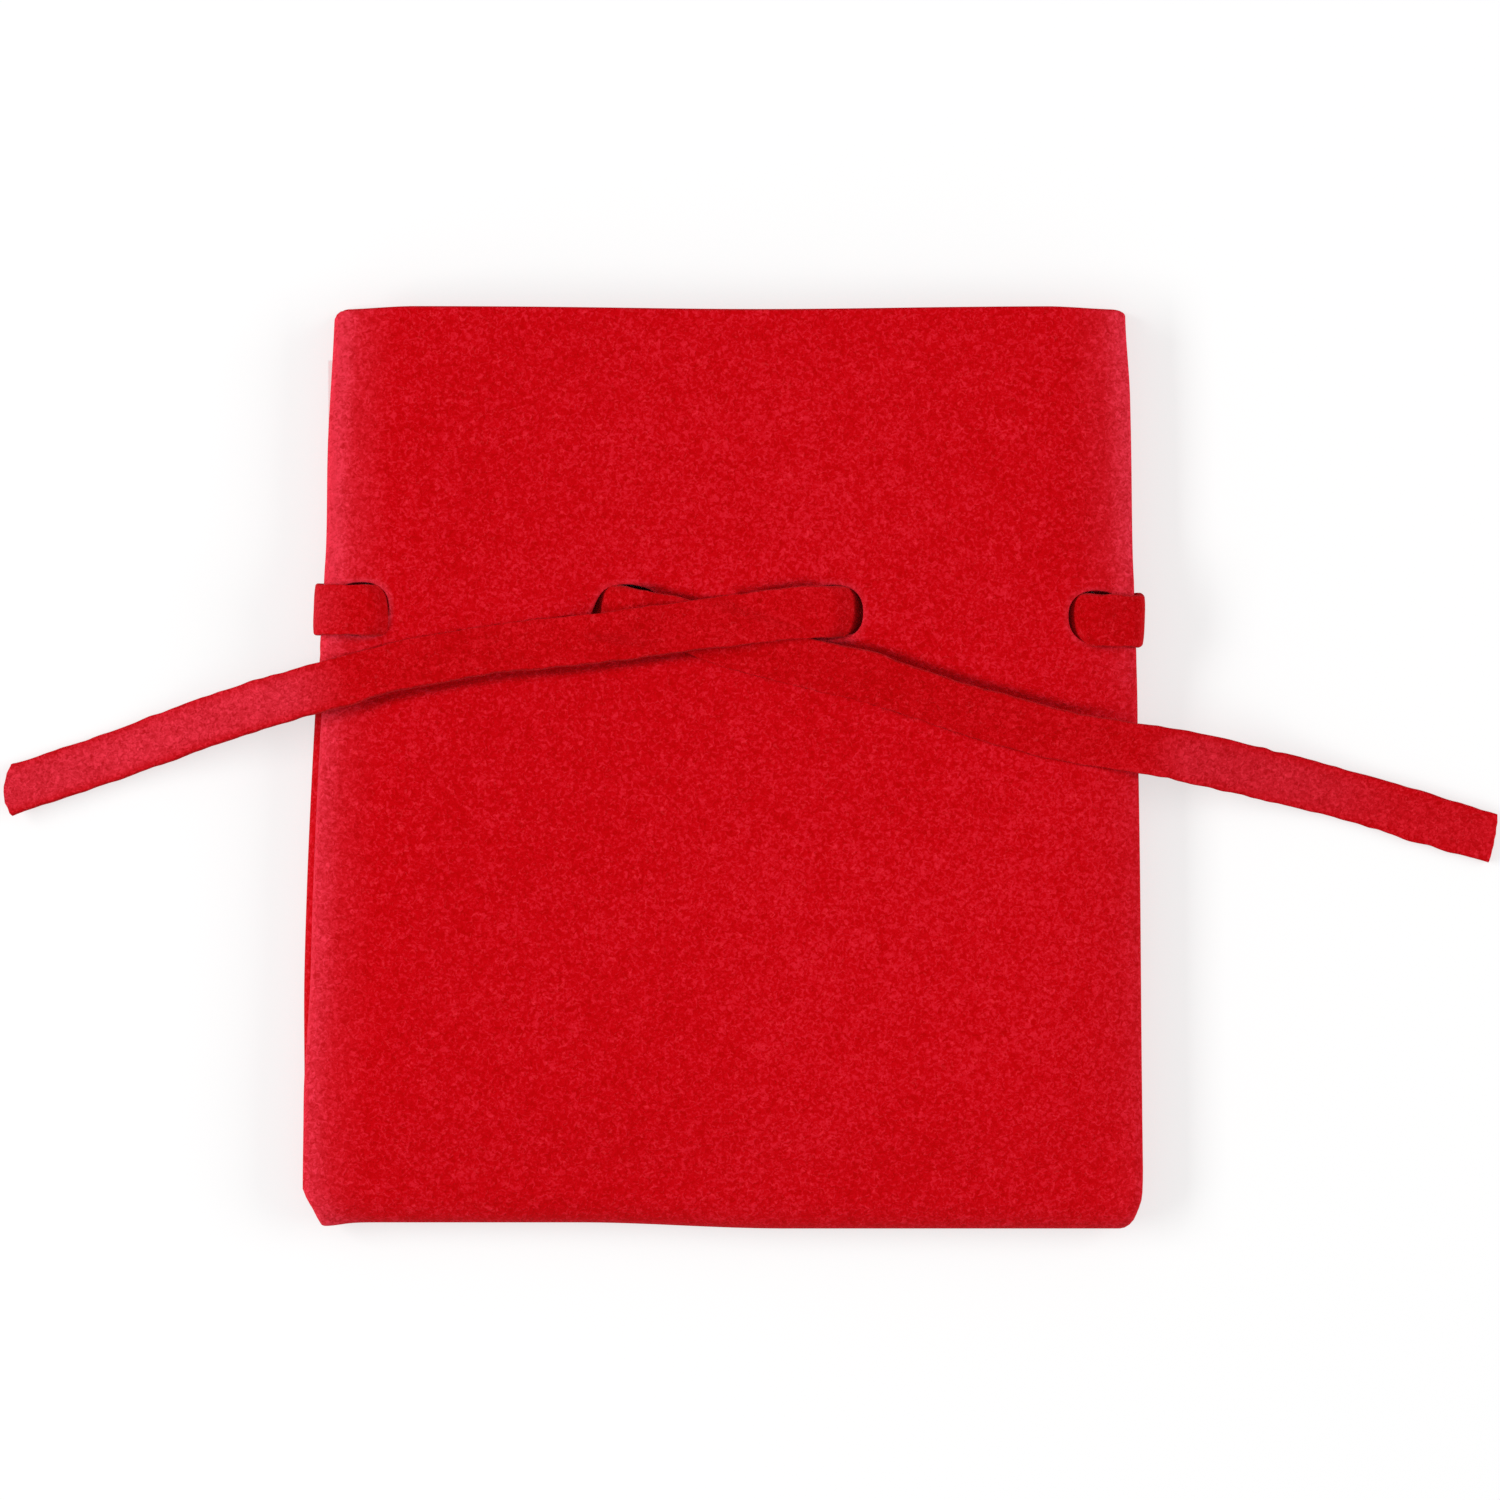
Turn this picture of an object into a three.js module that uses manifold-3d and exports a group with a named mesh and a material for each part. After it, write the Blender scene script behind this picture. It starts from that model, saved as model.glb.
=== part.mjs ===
// A small drawstring pouch of red microsuede, lying on its back with the mouth towards +Y.
// One sheet is folded at the bottom, sewn along both sides and turned, so the seam allowances
// lie inside. A flat strip of the same cloth is threaded through four holes in each wall.
// Millimetres, +Z up. The origin is at the middle of the pouch, on the table.
import * as THREE from 'three';
import { mergeVertices } from 'three/addons/utils/BufferGeometryUtils.js';
import Module from 'manifold-3d';

const { lerp, degToRad, smoothstep, clamp } = THREE.MathUtils;
const wasm = await Module();
wasm.setup();

// The sheet, and the outline of the pouch seen from above
const CLOTH = 0.8;
const POUCH_HEIGHT = 90;
const BOTTOM_WIDTH = 82.4;
const MOUTH_WIDTH = 77.6;
const TAPER_POWER = 1.4;
const CORNER_DRAW_IN = 1.7;
const BOTTOM_ROLL = 3.6;
const BOTTOM_ROLL_END = 80;

// The turned side seams: the roll of each edge, and the allowance left inside
const EDGE_ROLL_RADIUS = 1.1;
const SEAM_SLIT = 0.3;
const SEAM_GROOVE = 0.7;
const SEWN_WIDTH = 1.2;
const ALLOWANCE = 3.2;
const ALLOWANCE_CLIP = 2;
const GROOVE_ANGLE = -70;
const GROOVE_FADE = 0.25;

// How far the front wall stands up above its side edges, and over what length it rises
const CROWN = 2.2;
const CROWN_SIDE_RISE = 12;
const CROWN_BOTTOM_RISE = 14;
const CROWN_POWER = 2.2;
const MOUTH_SINK = 0.7;
const MOUTH_SINK_LENGTH = 20;

// The punched holes, four through each wall
const HOLE_DIAMETER = 5.8;
const HOLES_BELOW_MOUTH = 29.75;
const CENTRE_HOLE_X = 10.4;
const SIDE_HOLE_INSET = 3.9;
const HOLE_FACETS = 24;

// The drawstring strip, and the dip across the back that it lies in
const STRIP_WIDTH = 5;
const STRIP_THICKNESS = 0.7;
const STRIP_GAP = 0.25;
const TABLE_GAP = 0.12;
const DIP_MARGIN = 0.6;
const DIP_SHOULDER = 4.5;
const SETTLE = 1.6;
const STEPS_PER_POINT = 3;

// The two free ends, from their hole outwards: x, y and how many strips deep they lie
const LEFT_TAIL_ON_POUCH = [
  [7.6, 15.1, 2], [3.7, 14.7, 2], [-4, 13.7, 2], [-13, 12.5, 2], [-21.8, 11.6, 1],
  [-26.8, 10.8, 1], [-33, 9.6, 1], [-38, 8.2, 1],
];
const RIGHT_TAIL_ON_POUCH = [
  [-7.2, 14.4, 1], [-4.8, 13.7, 1], [1.4, 11.9, 1], [8.1, 10.1, 1], [13.7, 8.8, 1], [22.9, 5.8, 1],
  [33.1, 3, 1], [38.6, 2.1, 1],
];
// Past the side of the pouch: x, y and the height of the underside above the table
const LEFT_TAIL_OFF_POUCH = [
  [-43, 6.9, 4.2], [-47.6, 5.5, 2.9], [-51.8, 4.1, 1.6], [-56.5, 2.4, 0.6], [-61.2, 0.7, 0.1],
  [-70.2, -2.3, 0.1],
];
const RIGHT_TAIL_OFF_POUCH = [
  [44, 1.2, 4], [48.4, 0.3, 2.8], [53.2, -0.85, 1.4], [58.1, -2.05, 0.5], [62.8, -3.3, 0.1],
  [67.5, -4.75, 0.1], [75.5, -7.1, 0.1],
];

// Where the surfaces have their rows and columns: shares of a length, counts and degrees
const SHOULDER_SHARES = [0, 0.25, 0.5, 0.75, 1];
const SIDE_RISE_SHARES = [0, 0.06, 0.15, 0.3, 0.5, 0.75, 1];
const MOUTH_ROWS = 3;
const WALL_ROWS = 4;
const BOTTOM_ROWS = 4;
const ROLL_ROWS = 5;
const EDGE_TURNS = 5;
const INNER_EDGE_ANGLES = [60, 30, 0];

// Points nearer than this are one point of a surface
const MERGE_DISTANCE = 1e-4;

// Colours
const CLOTH_RED = '#c70f1e';
const STRIP_RED = '#be0c19';
const SUEDE_ROUGHNESS = 0.95;

const mouthY = POUCH_HEIGHT / 2;
const bottomY = -mouthY;
const rollStartY = bottomY + BOTTOM_ROLL;
const rollEndSine = Math.sin(degToRad(BOTTOM_ROLL_END));
const holeY = mouthY - HOLES_BELOW_MOUTH;
const dip = STRIP_THICKNESS + STRIP_GAP + TABLE_GAP;
const dipFlat = STRIP_WIDTH / 2 + DIP_MARGIN;
const edgeHeight = SEAM_SLIT / 2 + 2 * EDGE_ROLL_RADIUS;
const rollCentre = SEAM_SLIT / 2 + EDGE_ROLL_RADIUS;

// The back lifts over the strip along the row of holes.
function dipAt(y) {
  const away = Math.abs(y - holeY);
  return dip * (1 - smoothstep(away, dipFlat, dipFlat + DIP_SHOULDER));
}

// How far y lies into the bottom roll: 0 where the roll starts, 1 at the bottom edge.
function intoRoll(y) {
  return clamp((rollStartY - y) / BOTTOM_ROLL, 0, 1);
}

// Inside the bottom roll the walls close towards the seam plane along an ellipse.
function squeezeAt(y) {
  return Math.sqrt(1 - (intoRoll(y) * rollEndSine) ** 2);
}

function halfWidthAt(y) {
  const up = (y - bottomY) / POUCH_HEIGHT;
  const taper = ((BOTTOM_WIDTH - MOUTH_WIDTH) / 2) * up ** TAPER_POWER;
  return BOTTOM_WIDTH / 2 - taper - CORNER_DRAW_IN * (1 - squeezeAt(y));
}

function seamHeightAt(y) {
  return edgeHeight + dipAt(y);
}

function crownAt(y) {
  const rise = CROWN * smoothstep(y, bottomY, bottomY + CROWN_BOTTOM_RISE);
  const sink = MOUTH_SINK * smoothstep(y, mouthY - MOUTH_SINK_LENGTH, mouthY);
  return rise - sink - dipAt(y);
}

// Outer face of the front wall, before the bottom roll squeezes it.
function frontAt(x, y) {
  const inward = halfWidthAt(y) - EDGE_ROLL_RADIUS - Math.abs(x);
  const share = 1 - (1 - clamp(inward / CROWN_SIDE_RISE, 0, 1)) ** CROWN_POWER;
  return seamHeightAt(y) + edgeHeight + crownAt(y) * share;
}

// One row of the pouch per y: finer at the dip, the corners and the bottom roll.
function rowsAlong() {
  const rows = [mouthY];
  const shoulder = SHOULDER_SHARES.map((s) => dipFlat + s * DIP_SHOULDER);
  const firstShoulder = holeY + dipFlat + DIP_SHOULDER;
  for (let i = 1; i < MOUTH_ROWS; i++) rows.push(lerp(mouthY, firstShoulder, i / MOUTH_ROWS));
  shoulder.toReversed().forEach((s) => rows.push(holeY + s));
  shoulder.forEach((s) => rows.push(holeY - s));
  const crownFullY = bottomY + CROWN_BOTTOM_RISE;
  const lastShoulder = holeY - dipFlat - DIP_SHOULDER;
  for (let i = 1; i <= WALL_ROWS; i++) rows.push(lerp(lastShoulder, crownFullY, i / WALL_ROWS));
  for (let i = 1; i <= BOTTOM_ROWS; i++) rows.push(lerp(crownFullY, rollStartY, i / BOTTOM_ROWS));
  for (let i = 1; i <= ROLL_ROWS; i++) {
    const turn = degToRad((BOTTOM_ROLL_END * i) / ROLL_ROWS);
    rows.push(rollStartY - (BOTTOM_ROLL * Math.sin(turn)) / rollEndSine);
  }
  return rows;
}

// Columns of the front wall, from its right side edge to its left one.
function columnsAcross(y) {
  const side = halfWidthAt(y) - EDGE_ROLL_RADIUS;
  const inward = SIDE_RISE_SHARES.map((s) => s * CROWN_SIDE_RISE);
  const right = inward.map((d) => side - d);
  return [...right, CENTRE_HOLE_X, 0, -CENTRE_HOLE_X, ...right.toReversed().map((x) => -x)];
}

// The outside of a side edge, from the front wall round both rolls to the back wall.
function sideOutside(y) {
  const middle = seamHeightAt(y);
  const axis = halfWidthAt(y) - EDGE_ROLL_RADIUS;
  const open = clamp(1 - (1 - squeezeAt(y)) / GROOVE_FADE, 0, 1);
  const front = [];
  for (let i = 1; i <= EDGE_TURNS; i++) {
    const plain = degToRad(lerp(90, 0, i / (EDGE_TURNS + 1)));
    const rolled = degToRad(lerp(90, GROOVE_ANGLE, i / EDGE_TURNS));
    const out = lerp(Math.cos(plain), Math.cos(rolled), open) * EDGE_ROLL_RADIUS;
    const rolledUp = rollCentre + EDGE_ROLL_RADIUS * Math.sin(rolled);
    front.push([axis + out, lerp(edgeHeight * Math.sin(plain), rolledUp, open)]);
  }
  const root = [halfWidthAt(y) - SEAM_GROOVE * open, 0];
  const back = front.toReversed().map(([x, up]) => [x, -up]);
  return [...front, root, ...back].map(([x, up]) => [x, middle + up]);
}

// The inside of a side edge, before the allowances are added.
function sideInside(y) {
  const middle = seamHeightAt(y);
  const axis = halfWidthAt(y) - EDGE_ROLL_RADIUS;
  const radius = EDGE_ROLL_RADIUS - CLOTH;
  const front = INNER_EDGE_ANGLES.map((angle) => {
    const turn = degToRad(angle);
    return [axis + radius * Math.cos(turn), rollCentre + radius * Math.sin(turn)];
  });
  const back = front.toReversed().map(([x, up]) => [x, -up]);
  return [...front, ...back].map(([x, up]) => [x, middle + up]);
}

// One closed section of the pouch, its walls drawn in by the thickness of the skin.
function section(y, side, skin, placeY) {
  const right = side(y);
  const axis = halfWidthAt(y) - EDGE_ROLL_RADIUS;
  const front = columnsAcross(y).map((x) => [x, frontAt(x, y) - skin]);
  const back = [-axis, -CENTRE_HOLE_X, 0, CENTRE_HOLE_X, axis].map((x) => [x, dipAt(y) + skin]);
  const left = right.toReversed().map(([x, z]) => [-x, z]);
  const loop = [...right.toReversed(), ...front, ...left.toReversed(), ...back];
  const middle = seamHeightAt(y);
  const squeeze = squeezeAt(y);
  return loop.map(([x, z]) => new THREE.Vector3(x, placeY, middle + (z - middle) * squeeze));
}

// A closed surface through equal loops, with both ends filled in.
function loft(rings, flatten) {
  const count = rings[0].length;
  const index = [];
  for (let r = 0; r + 1 < rings.length; r++) {
    for (let j = 0; j < count; j++) {
      const a = r * count + j;
      const b = r * count + ((j + 1) % count);
      index.push(a, b, b + count, a, b + count, a + count);
    }
  }
  const end = (rings.length - 1) * count;
  const fill = (ring, first, turned) => {
    const flat = ring.map(flatten);
    const along = Math.sign(THREE.ShapeUtils.area(flat));
    THREE.ShapeUtils.triangulateShape(flat, []).forEach(([i, j, k]) => {
      const same = Math.sign(THREE.ShapeUtils.area([flat[i], flat[j], flat[k]])) === along;
      const [p, q] = same !== turned ? [j, k] : [k, j];
      index.push(first + i, first + p, first + q);
    });
  };
  fill(rings[0], 0, true);
  fill(rings.at(-1), end, false);
  return closedSolid(rings.flat(), index);
}

// A manifold solid from points and triangles, turned so that its faces point out.
function closedSolid(points, index) {
  const geometry = new THREE.BufferGeometry().setFromPoints(points).setIndex(index);
  const merged = mergeVertices(geometry, MERGE_DISTANCE);
  const vertProperties = merged.getAttribute('position').array;
  const triVerts = new Uint32Array(merged.index.array);
  const make = () => new wasm.Manifold(new wasm.Mesh({ numProp: 3, vertProperties, triVerts }));
  if (make().volume() > 0) return make();
  triVerts.reverse();
  return make();
}

// A three.js geometry as a solid: only its positions count.
function solidOf(geometry) {
  const plain = geometry.clone();
  plain.deleteAttribute('normal');
  plain.deleteAttribute('uv');
  const position = plain.getAttribute('position');
  const points = Array.from({ length: position.count }, (_, i) =>
    new THREE.Vector3().fromBufferAttribute(position, i));
  return closedSolid(points, [...plain.index.array]);
}

const acrossPouch = (p) => new THREE.Vector2(p.x, p.z);

// The two allowances of one side seam, sewn together near the edge and apart further in.
function allowances(side) {
  const rows = rowsAlong().filter((y) => y >= bottomY + ALLOWANCE_CLIP);
  const rings = rows.map((y) => {
    const edge = halfWidthAt(y);
    const free = edge - SEAM_GROOVE - ALLOWANCE;
    const sewn = edge - SEAM_GROOVE - SEWN_WIDTH;
    const outer = edge - SEAM_GROOVE - SEAM_SLIT / 2;
    const half = SEAM_SLIT / 2;
    const face = half + CLOTH;
    const profile = [
      [free, face], [outer, face], [outer, -face], [free, -face],
      [free, -half], [sewn, -half], [sewn, half], [free, half],
    ];
    return profile.map(([x, up]) => new THREE.Vector3(side * x, y, seamHeightAt(y) + up));
  });
  return loft(rings, acrossPouch);
}

// One punched hole through the front or the back wall only, clear of the allowances.
function punch(x, wall) {
  const middle = seamHeightAt(holeY);
  const from = middle + wall * rollCentre;
  const length = edgeHeight + CROWN;
  const cutter = new THREE.CylinderGeometry(HOLE_DIAMETER / 2, HOLE_DIAMETER / 2, length, HOLE_FACETS);
  cutter.rotateX(Math.PI / 2);
  cutter.translate(x, holeY, from + (wall * length) / 2);
  return solidOf(cutter);
}

const sideHoleX = halfWidthAt(holeY) - SIDE_HOLE_INSET;

function pouchBody() {
  const rows = rowsAlong();
  const outside = rows.map((y) => section(y, sideOutside, 0, y));
  const inside = rows.slice(1).map((y) => section(y, sideInside, CLOTH, insideY(y)));
  inside.unshift(section(mouthY, sideInside, CLOTH, mouthY + CLOTH));
  let body = loft(outside, acrossPouch).subtract(loft(inside, acrossPouch));
  body = body.add(allowances(1)).add(allowances(-1));
  for (const x of [-sideHoleX, -CENTRE_HOLE_X, CENTRE_HOLE_X, sideHoleX]) {
    body = body.subtract(punch(x, 1)).subtract(punch(x, -1));
  }
  return body;
}

// The inner face of the bottom roll keeps one thickness of cloth from the outer one.
function insideY(y) {
  return y < rollStartY ? rollStartY - (BOTTOM_ROLL - CLOTH) * intoRoll(y) : y;
}

// Height of the strip's middle on, under, inside or beneath the pouch. On the front it rests on
// the highest cloth across its width.
function onFront(x, y, deep = 1) {
  const across = [-STRIP_WIDTH / 2, 0, STRIP_WIDTH / 2].map((aside) => frontAt(x, y + aside));
  return Math.max(...across) + deep * (STRIP_GAP + STRIP_THICKNESS) - STRIP_THICKNESS / 2;
}
const underFront = (x, y) => frontAt(x, y) - CLOTH - STRIP_GAP - STRIP_THICKNESS / 2;
const onBack = dipAt(holeY) + CLOTH + STRIP_GAP + STRIP_THICKNESS / 2;
const underBack = TABLE_GAP + STRIP_THICKNESS / 2;

// The strip crosses a wall within the chord of the hole that is as wide as the strip.
const halfCrossing = Math.sqrt((HOLE_DIAMETER / 2) ** 2 - (STRIP_WIDTH / 2) ** 2);

// One side of the threading: centre front hole, inside, side hole, round the edge to the back,
// side hole, inside, centre back hole.
function threading(side) {
  const reach = EDGE_ROLL_RADIUS + STRIP_GAP + STRIP_THICKNESS / 2;
  const axis = halfWidthAt(holeY) - EDGE_ROLL_RADIUS;
  const middle = seamHeightAt(holeY);
  const upper = middle + rollCentre;
  const lower = middle - rollCentre;
  const slant = reach * Math.SQRT1_2;
  const centreIn = CENTRE_HOLE_X - halfCrossing;
  const centreOut = CENTRE_HOLE_X + halfCrossing;
  const sideIn = sideHoleX - halfCrossing;
  const sideOut = sideHoleX + halfCrossing;
  const inside = [centreOut, centreOut + SETTLE, sideIn - SETTLE, sideIn];
  const run = [
    ...inside.map((x) => [x, underFront(x, holeY)]),
    [sideOut, onFront(sideOut, holeY)],
    [axis, upper + reach],
    [axis + slant, upper + slant],
    [axis + reach, upper],
    [axis + reach, lower],
    [axis + slant, lower - slant],
    [axis, lower - reach],
    [sideOut, underBack],
    ...inside.toReversed().map((x) => [x, onBack]),
    [centreIn, underBack],
    [centreIn - SETTLE, underBack],
  ];
  return run.map(([x, z]) => new THREE.Vector3(side * x, holeY, z));
}

function tail(onPouch, offPouch) {
  const lying = onPouch.map(([x, y, deep]) => new THREE.Vector3(x, y, onFront(x, y, deep)));
  const falling = offPouch.map(([x, y, under]) => new THREE.Vector3(x, y, under + STRIP_THICKNESS / 2));
  return [...lying, ...falling];
}

function drawstring() {
  const leaveX = CENTRE_HOLE_X - halfCrossing;
  const leave = (side) => new THREE.Vector3(side * leaveX, holeY, onFront(leaveX, holeY));
  const points = [
    ...tail(LEFT_TAIL_ON_POUCH, LEFT_TAIL_OFF_POUCH).toReversed(),
    leave(1),
    ...threading(1),
    ...threading(-1).toReversed(),
    leave(-1),
    ...tail(RIGHT_TAIL_ON_POUCH, RIGHT_TAIL_OFF_POUCH),
  ];
  const route = new THREE.CatmullRomCurve3(points, false, 'centripetal');
  return strip(route.getPoints((points.length - 1) * STEPS_PER_POINT));
}

// A flat strip along a route, its width kept as near to +Y as the route allows.
function strip(points) {
  const half = new THREE.Vector2(STRIP_WIDTH / 2, STRIP_THICKNESS / 2);
  const corners = [[-1, -1], [1, -1], [1, 1], [-1, 1]];
  const profile = corners.map(([u, v]) => new THREE.Vector2(u, v).multiply(half));
  const rings = points.map((point, i) => {
    const before = points[Math.max(i - 1, 0)];
    const after = points[Math.min(i + 1, points.length - 1)];
    const along = new THREE.Vector3().subVectors(after, before).normalize();
    const wide = new THREE.Vector3(0, 1, 0).addScaledVector(along, -along.y).normalize();
    const thick = new THREE.Vector3().crossVectors(along, wide);
    return profile.map((p) => point.clone().addScaledVector(wide, p.x).addScaledVector(thick, p.y));
  });
  return loft(rings, (p, j) => profile[j]);
}

function node(name, solid, colour) {
  const mesh = solid.getMesh();
  const geometry = new THREE.BufferGeometry();
  geometry.setAttribute('position', new THREE.BufferAttribute(mesh.vertProperties, 3));
  geometry.setIndex(new THREE.BufferAttribute(mesh.triVerts, 1));
  geometry.computeVertexNormals();
  const finish = { color: colour, roughness: SUEDE_ROUGHNESS, metalness: 0 };
  const material = new THREE.MeshStandardMaterial(finish);
  const made = new THREE.Mesh(geometry, material);
  made.name = name;
  return made;
}

const pouch = new THREE.Group();
pouch.add(node('pouch_body', pouchBody(), CLOTH_RED));
pouch.add(node('drawstring', drawstring(), STRIP_RED));

export default pouch;
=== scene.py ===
# %% [markdown]
# # A small drawstring pouch in red microsuede
# The real pouch is one sheet of microsuede. It is folded across the bottom, sewn up both sides
# and turned right side out. A flat strip of the same cloth runs through punched holes below the
# mouth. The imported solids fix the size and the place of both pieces. This lesson makes the cloth
# itself: its thickness, turned seams, holes, cut edges and nap.

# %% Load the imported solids
import math

import bpy
import numpy as np
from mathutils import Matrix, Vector


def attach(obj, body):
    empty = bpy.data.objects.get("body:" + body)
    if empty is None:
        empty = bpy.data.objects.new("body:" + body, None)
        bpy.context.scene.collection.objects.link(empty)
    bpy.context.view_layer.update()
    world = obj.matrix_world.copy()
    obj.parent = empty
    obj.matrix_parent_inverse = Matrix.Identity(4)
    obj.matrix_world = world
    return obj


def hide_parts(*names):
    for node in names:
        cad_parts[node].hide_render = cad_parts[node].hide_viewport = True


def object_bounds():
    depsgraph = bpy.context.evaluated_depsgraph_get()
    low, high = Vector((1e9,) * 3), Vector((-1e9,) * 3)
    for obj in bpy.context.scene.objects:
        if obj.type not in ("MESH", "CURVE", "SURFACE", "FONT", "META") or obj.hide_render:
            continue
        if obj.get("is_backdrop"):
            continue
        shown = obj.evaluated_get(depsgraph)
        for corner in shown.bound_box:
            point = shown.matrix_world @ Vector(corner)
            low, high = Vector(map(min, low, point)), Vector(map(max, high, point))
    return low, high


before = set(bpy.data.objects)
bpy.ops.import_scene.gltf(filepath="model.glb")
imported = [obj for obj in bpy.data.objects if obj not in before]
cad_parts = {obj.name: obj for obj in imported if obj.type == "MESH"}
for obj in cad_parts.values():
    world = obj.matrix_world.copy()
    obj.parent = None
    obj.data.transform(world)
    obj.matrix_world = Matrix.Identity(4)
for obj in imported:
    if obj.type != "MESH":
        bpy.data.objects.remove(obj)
cad_low, cad_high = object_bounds()
MM = 0.001
cad_size = [round(v / MM, 1) for v in (cad_high - cad_low)]
print("solids:", sorted(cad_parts), "box in mm:", cad_size)

# %% [markdown]
# ## The camera
# The pouch was photographed from straight above. A camera with no rotation already looks down,
# with +Y at the top of the picture. A long lens from far up keeps the edges from spreading. The
# lens follows from the width of the view, the distance and the width of the sensor.

# %% Set up the camera
VIEW_WIDTH = 147.06 * MM
VIEW_CENTRE = Vector((2.35, 1.62, 6.0)) * MM
CAMERA_DISTANCE = 1.2
SENSOR = 36.0

bpy.ops.object.select_all(action="DESELECT")
above = VIEW_CENTRE + Vector((0, 0, CAMERA_DISTANCE))
bpy.ops.object.camera_add(location=above, rotation=(0, 0, 0))
camera = bpy.context.object
camera.data.sensor_width = SENSOR
camera.data.lens = SENSOR * CAMERA_DISTANCE / VIEW_WIDTH
bpy.context.scene.camera = camera
print("lens in mm:", round(camera.data.lens, 1))

# %% [markdown]
# ## The pouch as a few formulas
# Both pieces of cloth lie on each other, so both need to know where the pouch's surface is. A
# few formulas in millimetres say how wide the pouch is at each height, how high the front wall
# stands, and where the back lifts over the strip. The sizes are those of the solid.

# %% Sizes of the pouch
# the cloth and the outline
CLOTH = 0.8
HEIGHT = 90.0
MOUTH = HEIGHT / 2
BOTTOM = -MOUTH
BOTTOM_WIDTH = 82.4
MOUTH_WIDTH = 77.6
TAPER_POWER = 1.4
CORNER_DRAW_IN = 1.7
LEFT_CHAMFER = 2.0
LEFT_MOUTH_CORNER = 1.2
RIGHT_MOUTH_CORNER = 0.5
# the bottom fold and the turned edges at the sides
BOTTOM_ROLL = 3.6
ROLL_START = BOTTOM + BOTTOM_ROLL
EDGE_ROLL = 1.1
SEAM_SLIT = 0.3
EDGE_HEIGHT = SEAM_SLIT / 2 + 2 * EDGE_ROLL
ROLL_CENTRE = SEAM_SLIT / 2 + EDGE_ROLL
# how the front wall stands up
CROWN = 2.2
CROWN_SIDE_RISE = 12.0
CROWN_BOTTOM_RISE = 14.0
CROWN_POWER = 2.2
MOUTH_SINK = 0.7
MOUTH_SINK_LENGTH = 20.0
# the holes, and how square the strip pulls them
HOLE_HALF_X = 2.8
HOLE_HALF_Y = 2.6
LEFT_SQUARENESS = 3.4
RIGHT_SQUARENESS = 2.4
SIDE_SQUARENESS = 2.3
LEFT_PULL = 0.35
HOLE_Y = MOUTH - 29.75
CENTRE_HOLE_X = 10.4
SIDE_HOLE_INSET = 3.9
# the strip, and how far the cloth lifts to let it pass along the back
STRIP_WIDTH = 5.0
STRIP_THICKNESS = 0.7
DIP = 1.07
DIP_FLAT = 3.1
DIP_SHOULDER = 4.5


def smoothstep(value, low, high):
    t = np.clip((value - low) / (high - low), 0, 1)
    return t * t * (3 - 2 * t)


def hill(value, middle, width):
    return np.exp(-(((value - middle) / width) ** 2))


def mix(a, b, share):
    return a + (b - a) * share


print("pouch in mm:", BOTTOM_WIDTH, "to", MOUTH_WIDTH, "wide,", HEIGHT, "high")

# %% [markdown]
# Cloth never lies as straight as it was drawn. The pouch leans a little to one side, its mouth
# and its bottom edge wave, the row of holes slopes, and the front wall has slow swells. These
# are tenths of a millimetre, and they are what tells cloth from plastic.

# %% How the cloth lies
LEAN_TOP = 0.39
LEAN_BOTTOM = 0.42
MOUTH_RISE = 0.35
MOUTH_SAG = 0.3
ROW_DROP = 0.15
ROW_SLOPE = 0.5 / 36
ROW_BUMP = 0.2
ROW_LEFT_DROP = 0.15
BOTTOM_RISE = 0.16
BOTTOM_STEP = 0.6
BOTTOM_CORNER_DROP = 0.35
SLOW_SWELLS = (0.11, 0.09)
QUICK_SWELL = 0.04


def lean(y):
    return LEAN_TOP - (LEAN_TOP + LEAN_BOTTOM) * smoothstep(-y, -40, 30)


def settle(x, y):
    mouth_wave = MOUTH_RISE - MOUTH_SAG * hill(x, 3, 18)
    row_slope = ROW_BUMP * hill(x, 11, 6) - ROW_LEFT_DROP * smoothstep(-x, 25, 38)
    row_slope = row_slope - ROW_SLOPE * x - ROW_DROP
    bottom_slope = BOTTOM_RISE - BOTTOM_STEP * smoothstep(x, -14, 6)
    bottom_slope = bottom_slope - BOTTOM_CORNER_DROP * hill(x, -39, 2)
    near_mouth = smoothstep(y, 22, 42)
    near_bottom = smoothstep(-y, 5, 40)
    between = (1 - near_mouth) * (1 - near_bottom)
    return mouth_wave * near_mouth + row_slope * between + bottom_slope * near_bottom


def swell(x, y):
    first = SLOW_SWELLS[0] * np.sin(x / 8.3 + y / 13.1 + 0.6)
    second = SLOW_SWELLS[1] * np.sin(x / 15.7 - y / 9.2 + 2.1)
    quick = QUICK_SWELL * np.sin(x / 3.9 - y / 5.7) * np.sin(y / 4.1 + x / 9.3)
    return first + second + quick


print("swell at the middle in mm:", round(float(swell(0, 0)), 2))

# %% [markdown]
# The two free ends of the strip lie across the front. Their weight and the pull at the holes
# press the soft wall in, so that the strip lies in a shallow valley. One edge of each end is
# turned up a little. On that side the valley stays open and looks dark, as on the real pouch.

# %% Where the free ends lie
TAIL_PRESS = 0.8
# from the middle of the strip to the foot and to the top of the valley's side
OPEN_SIDE = (2.55, 3.65)
CLOSED_SIDE = (2.25, 2.55)
# from the middle of a hole: the wall keeps its height up to here, and is pressed in from there
FREE_ROUND_HOLE = (2.3, 3.3)

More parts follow.
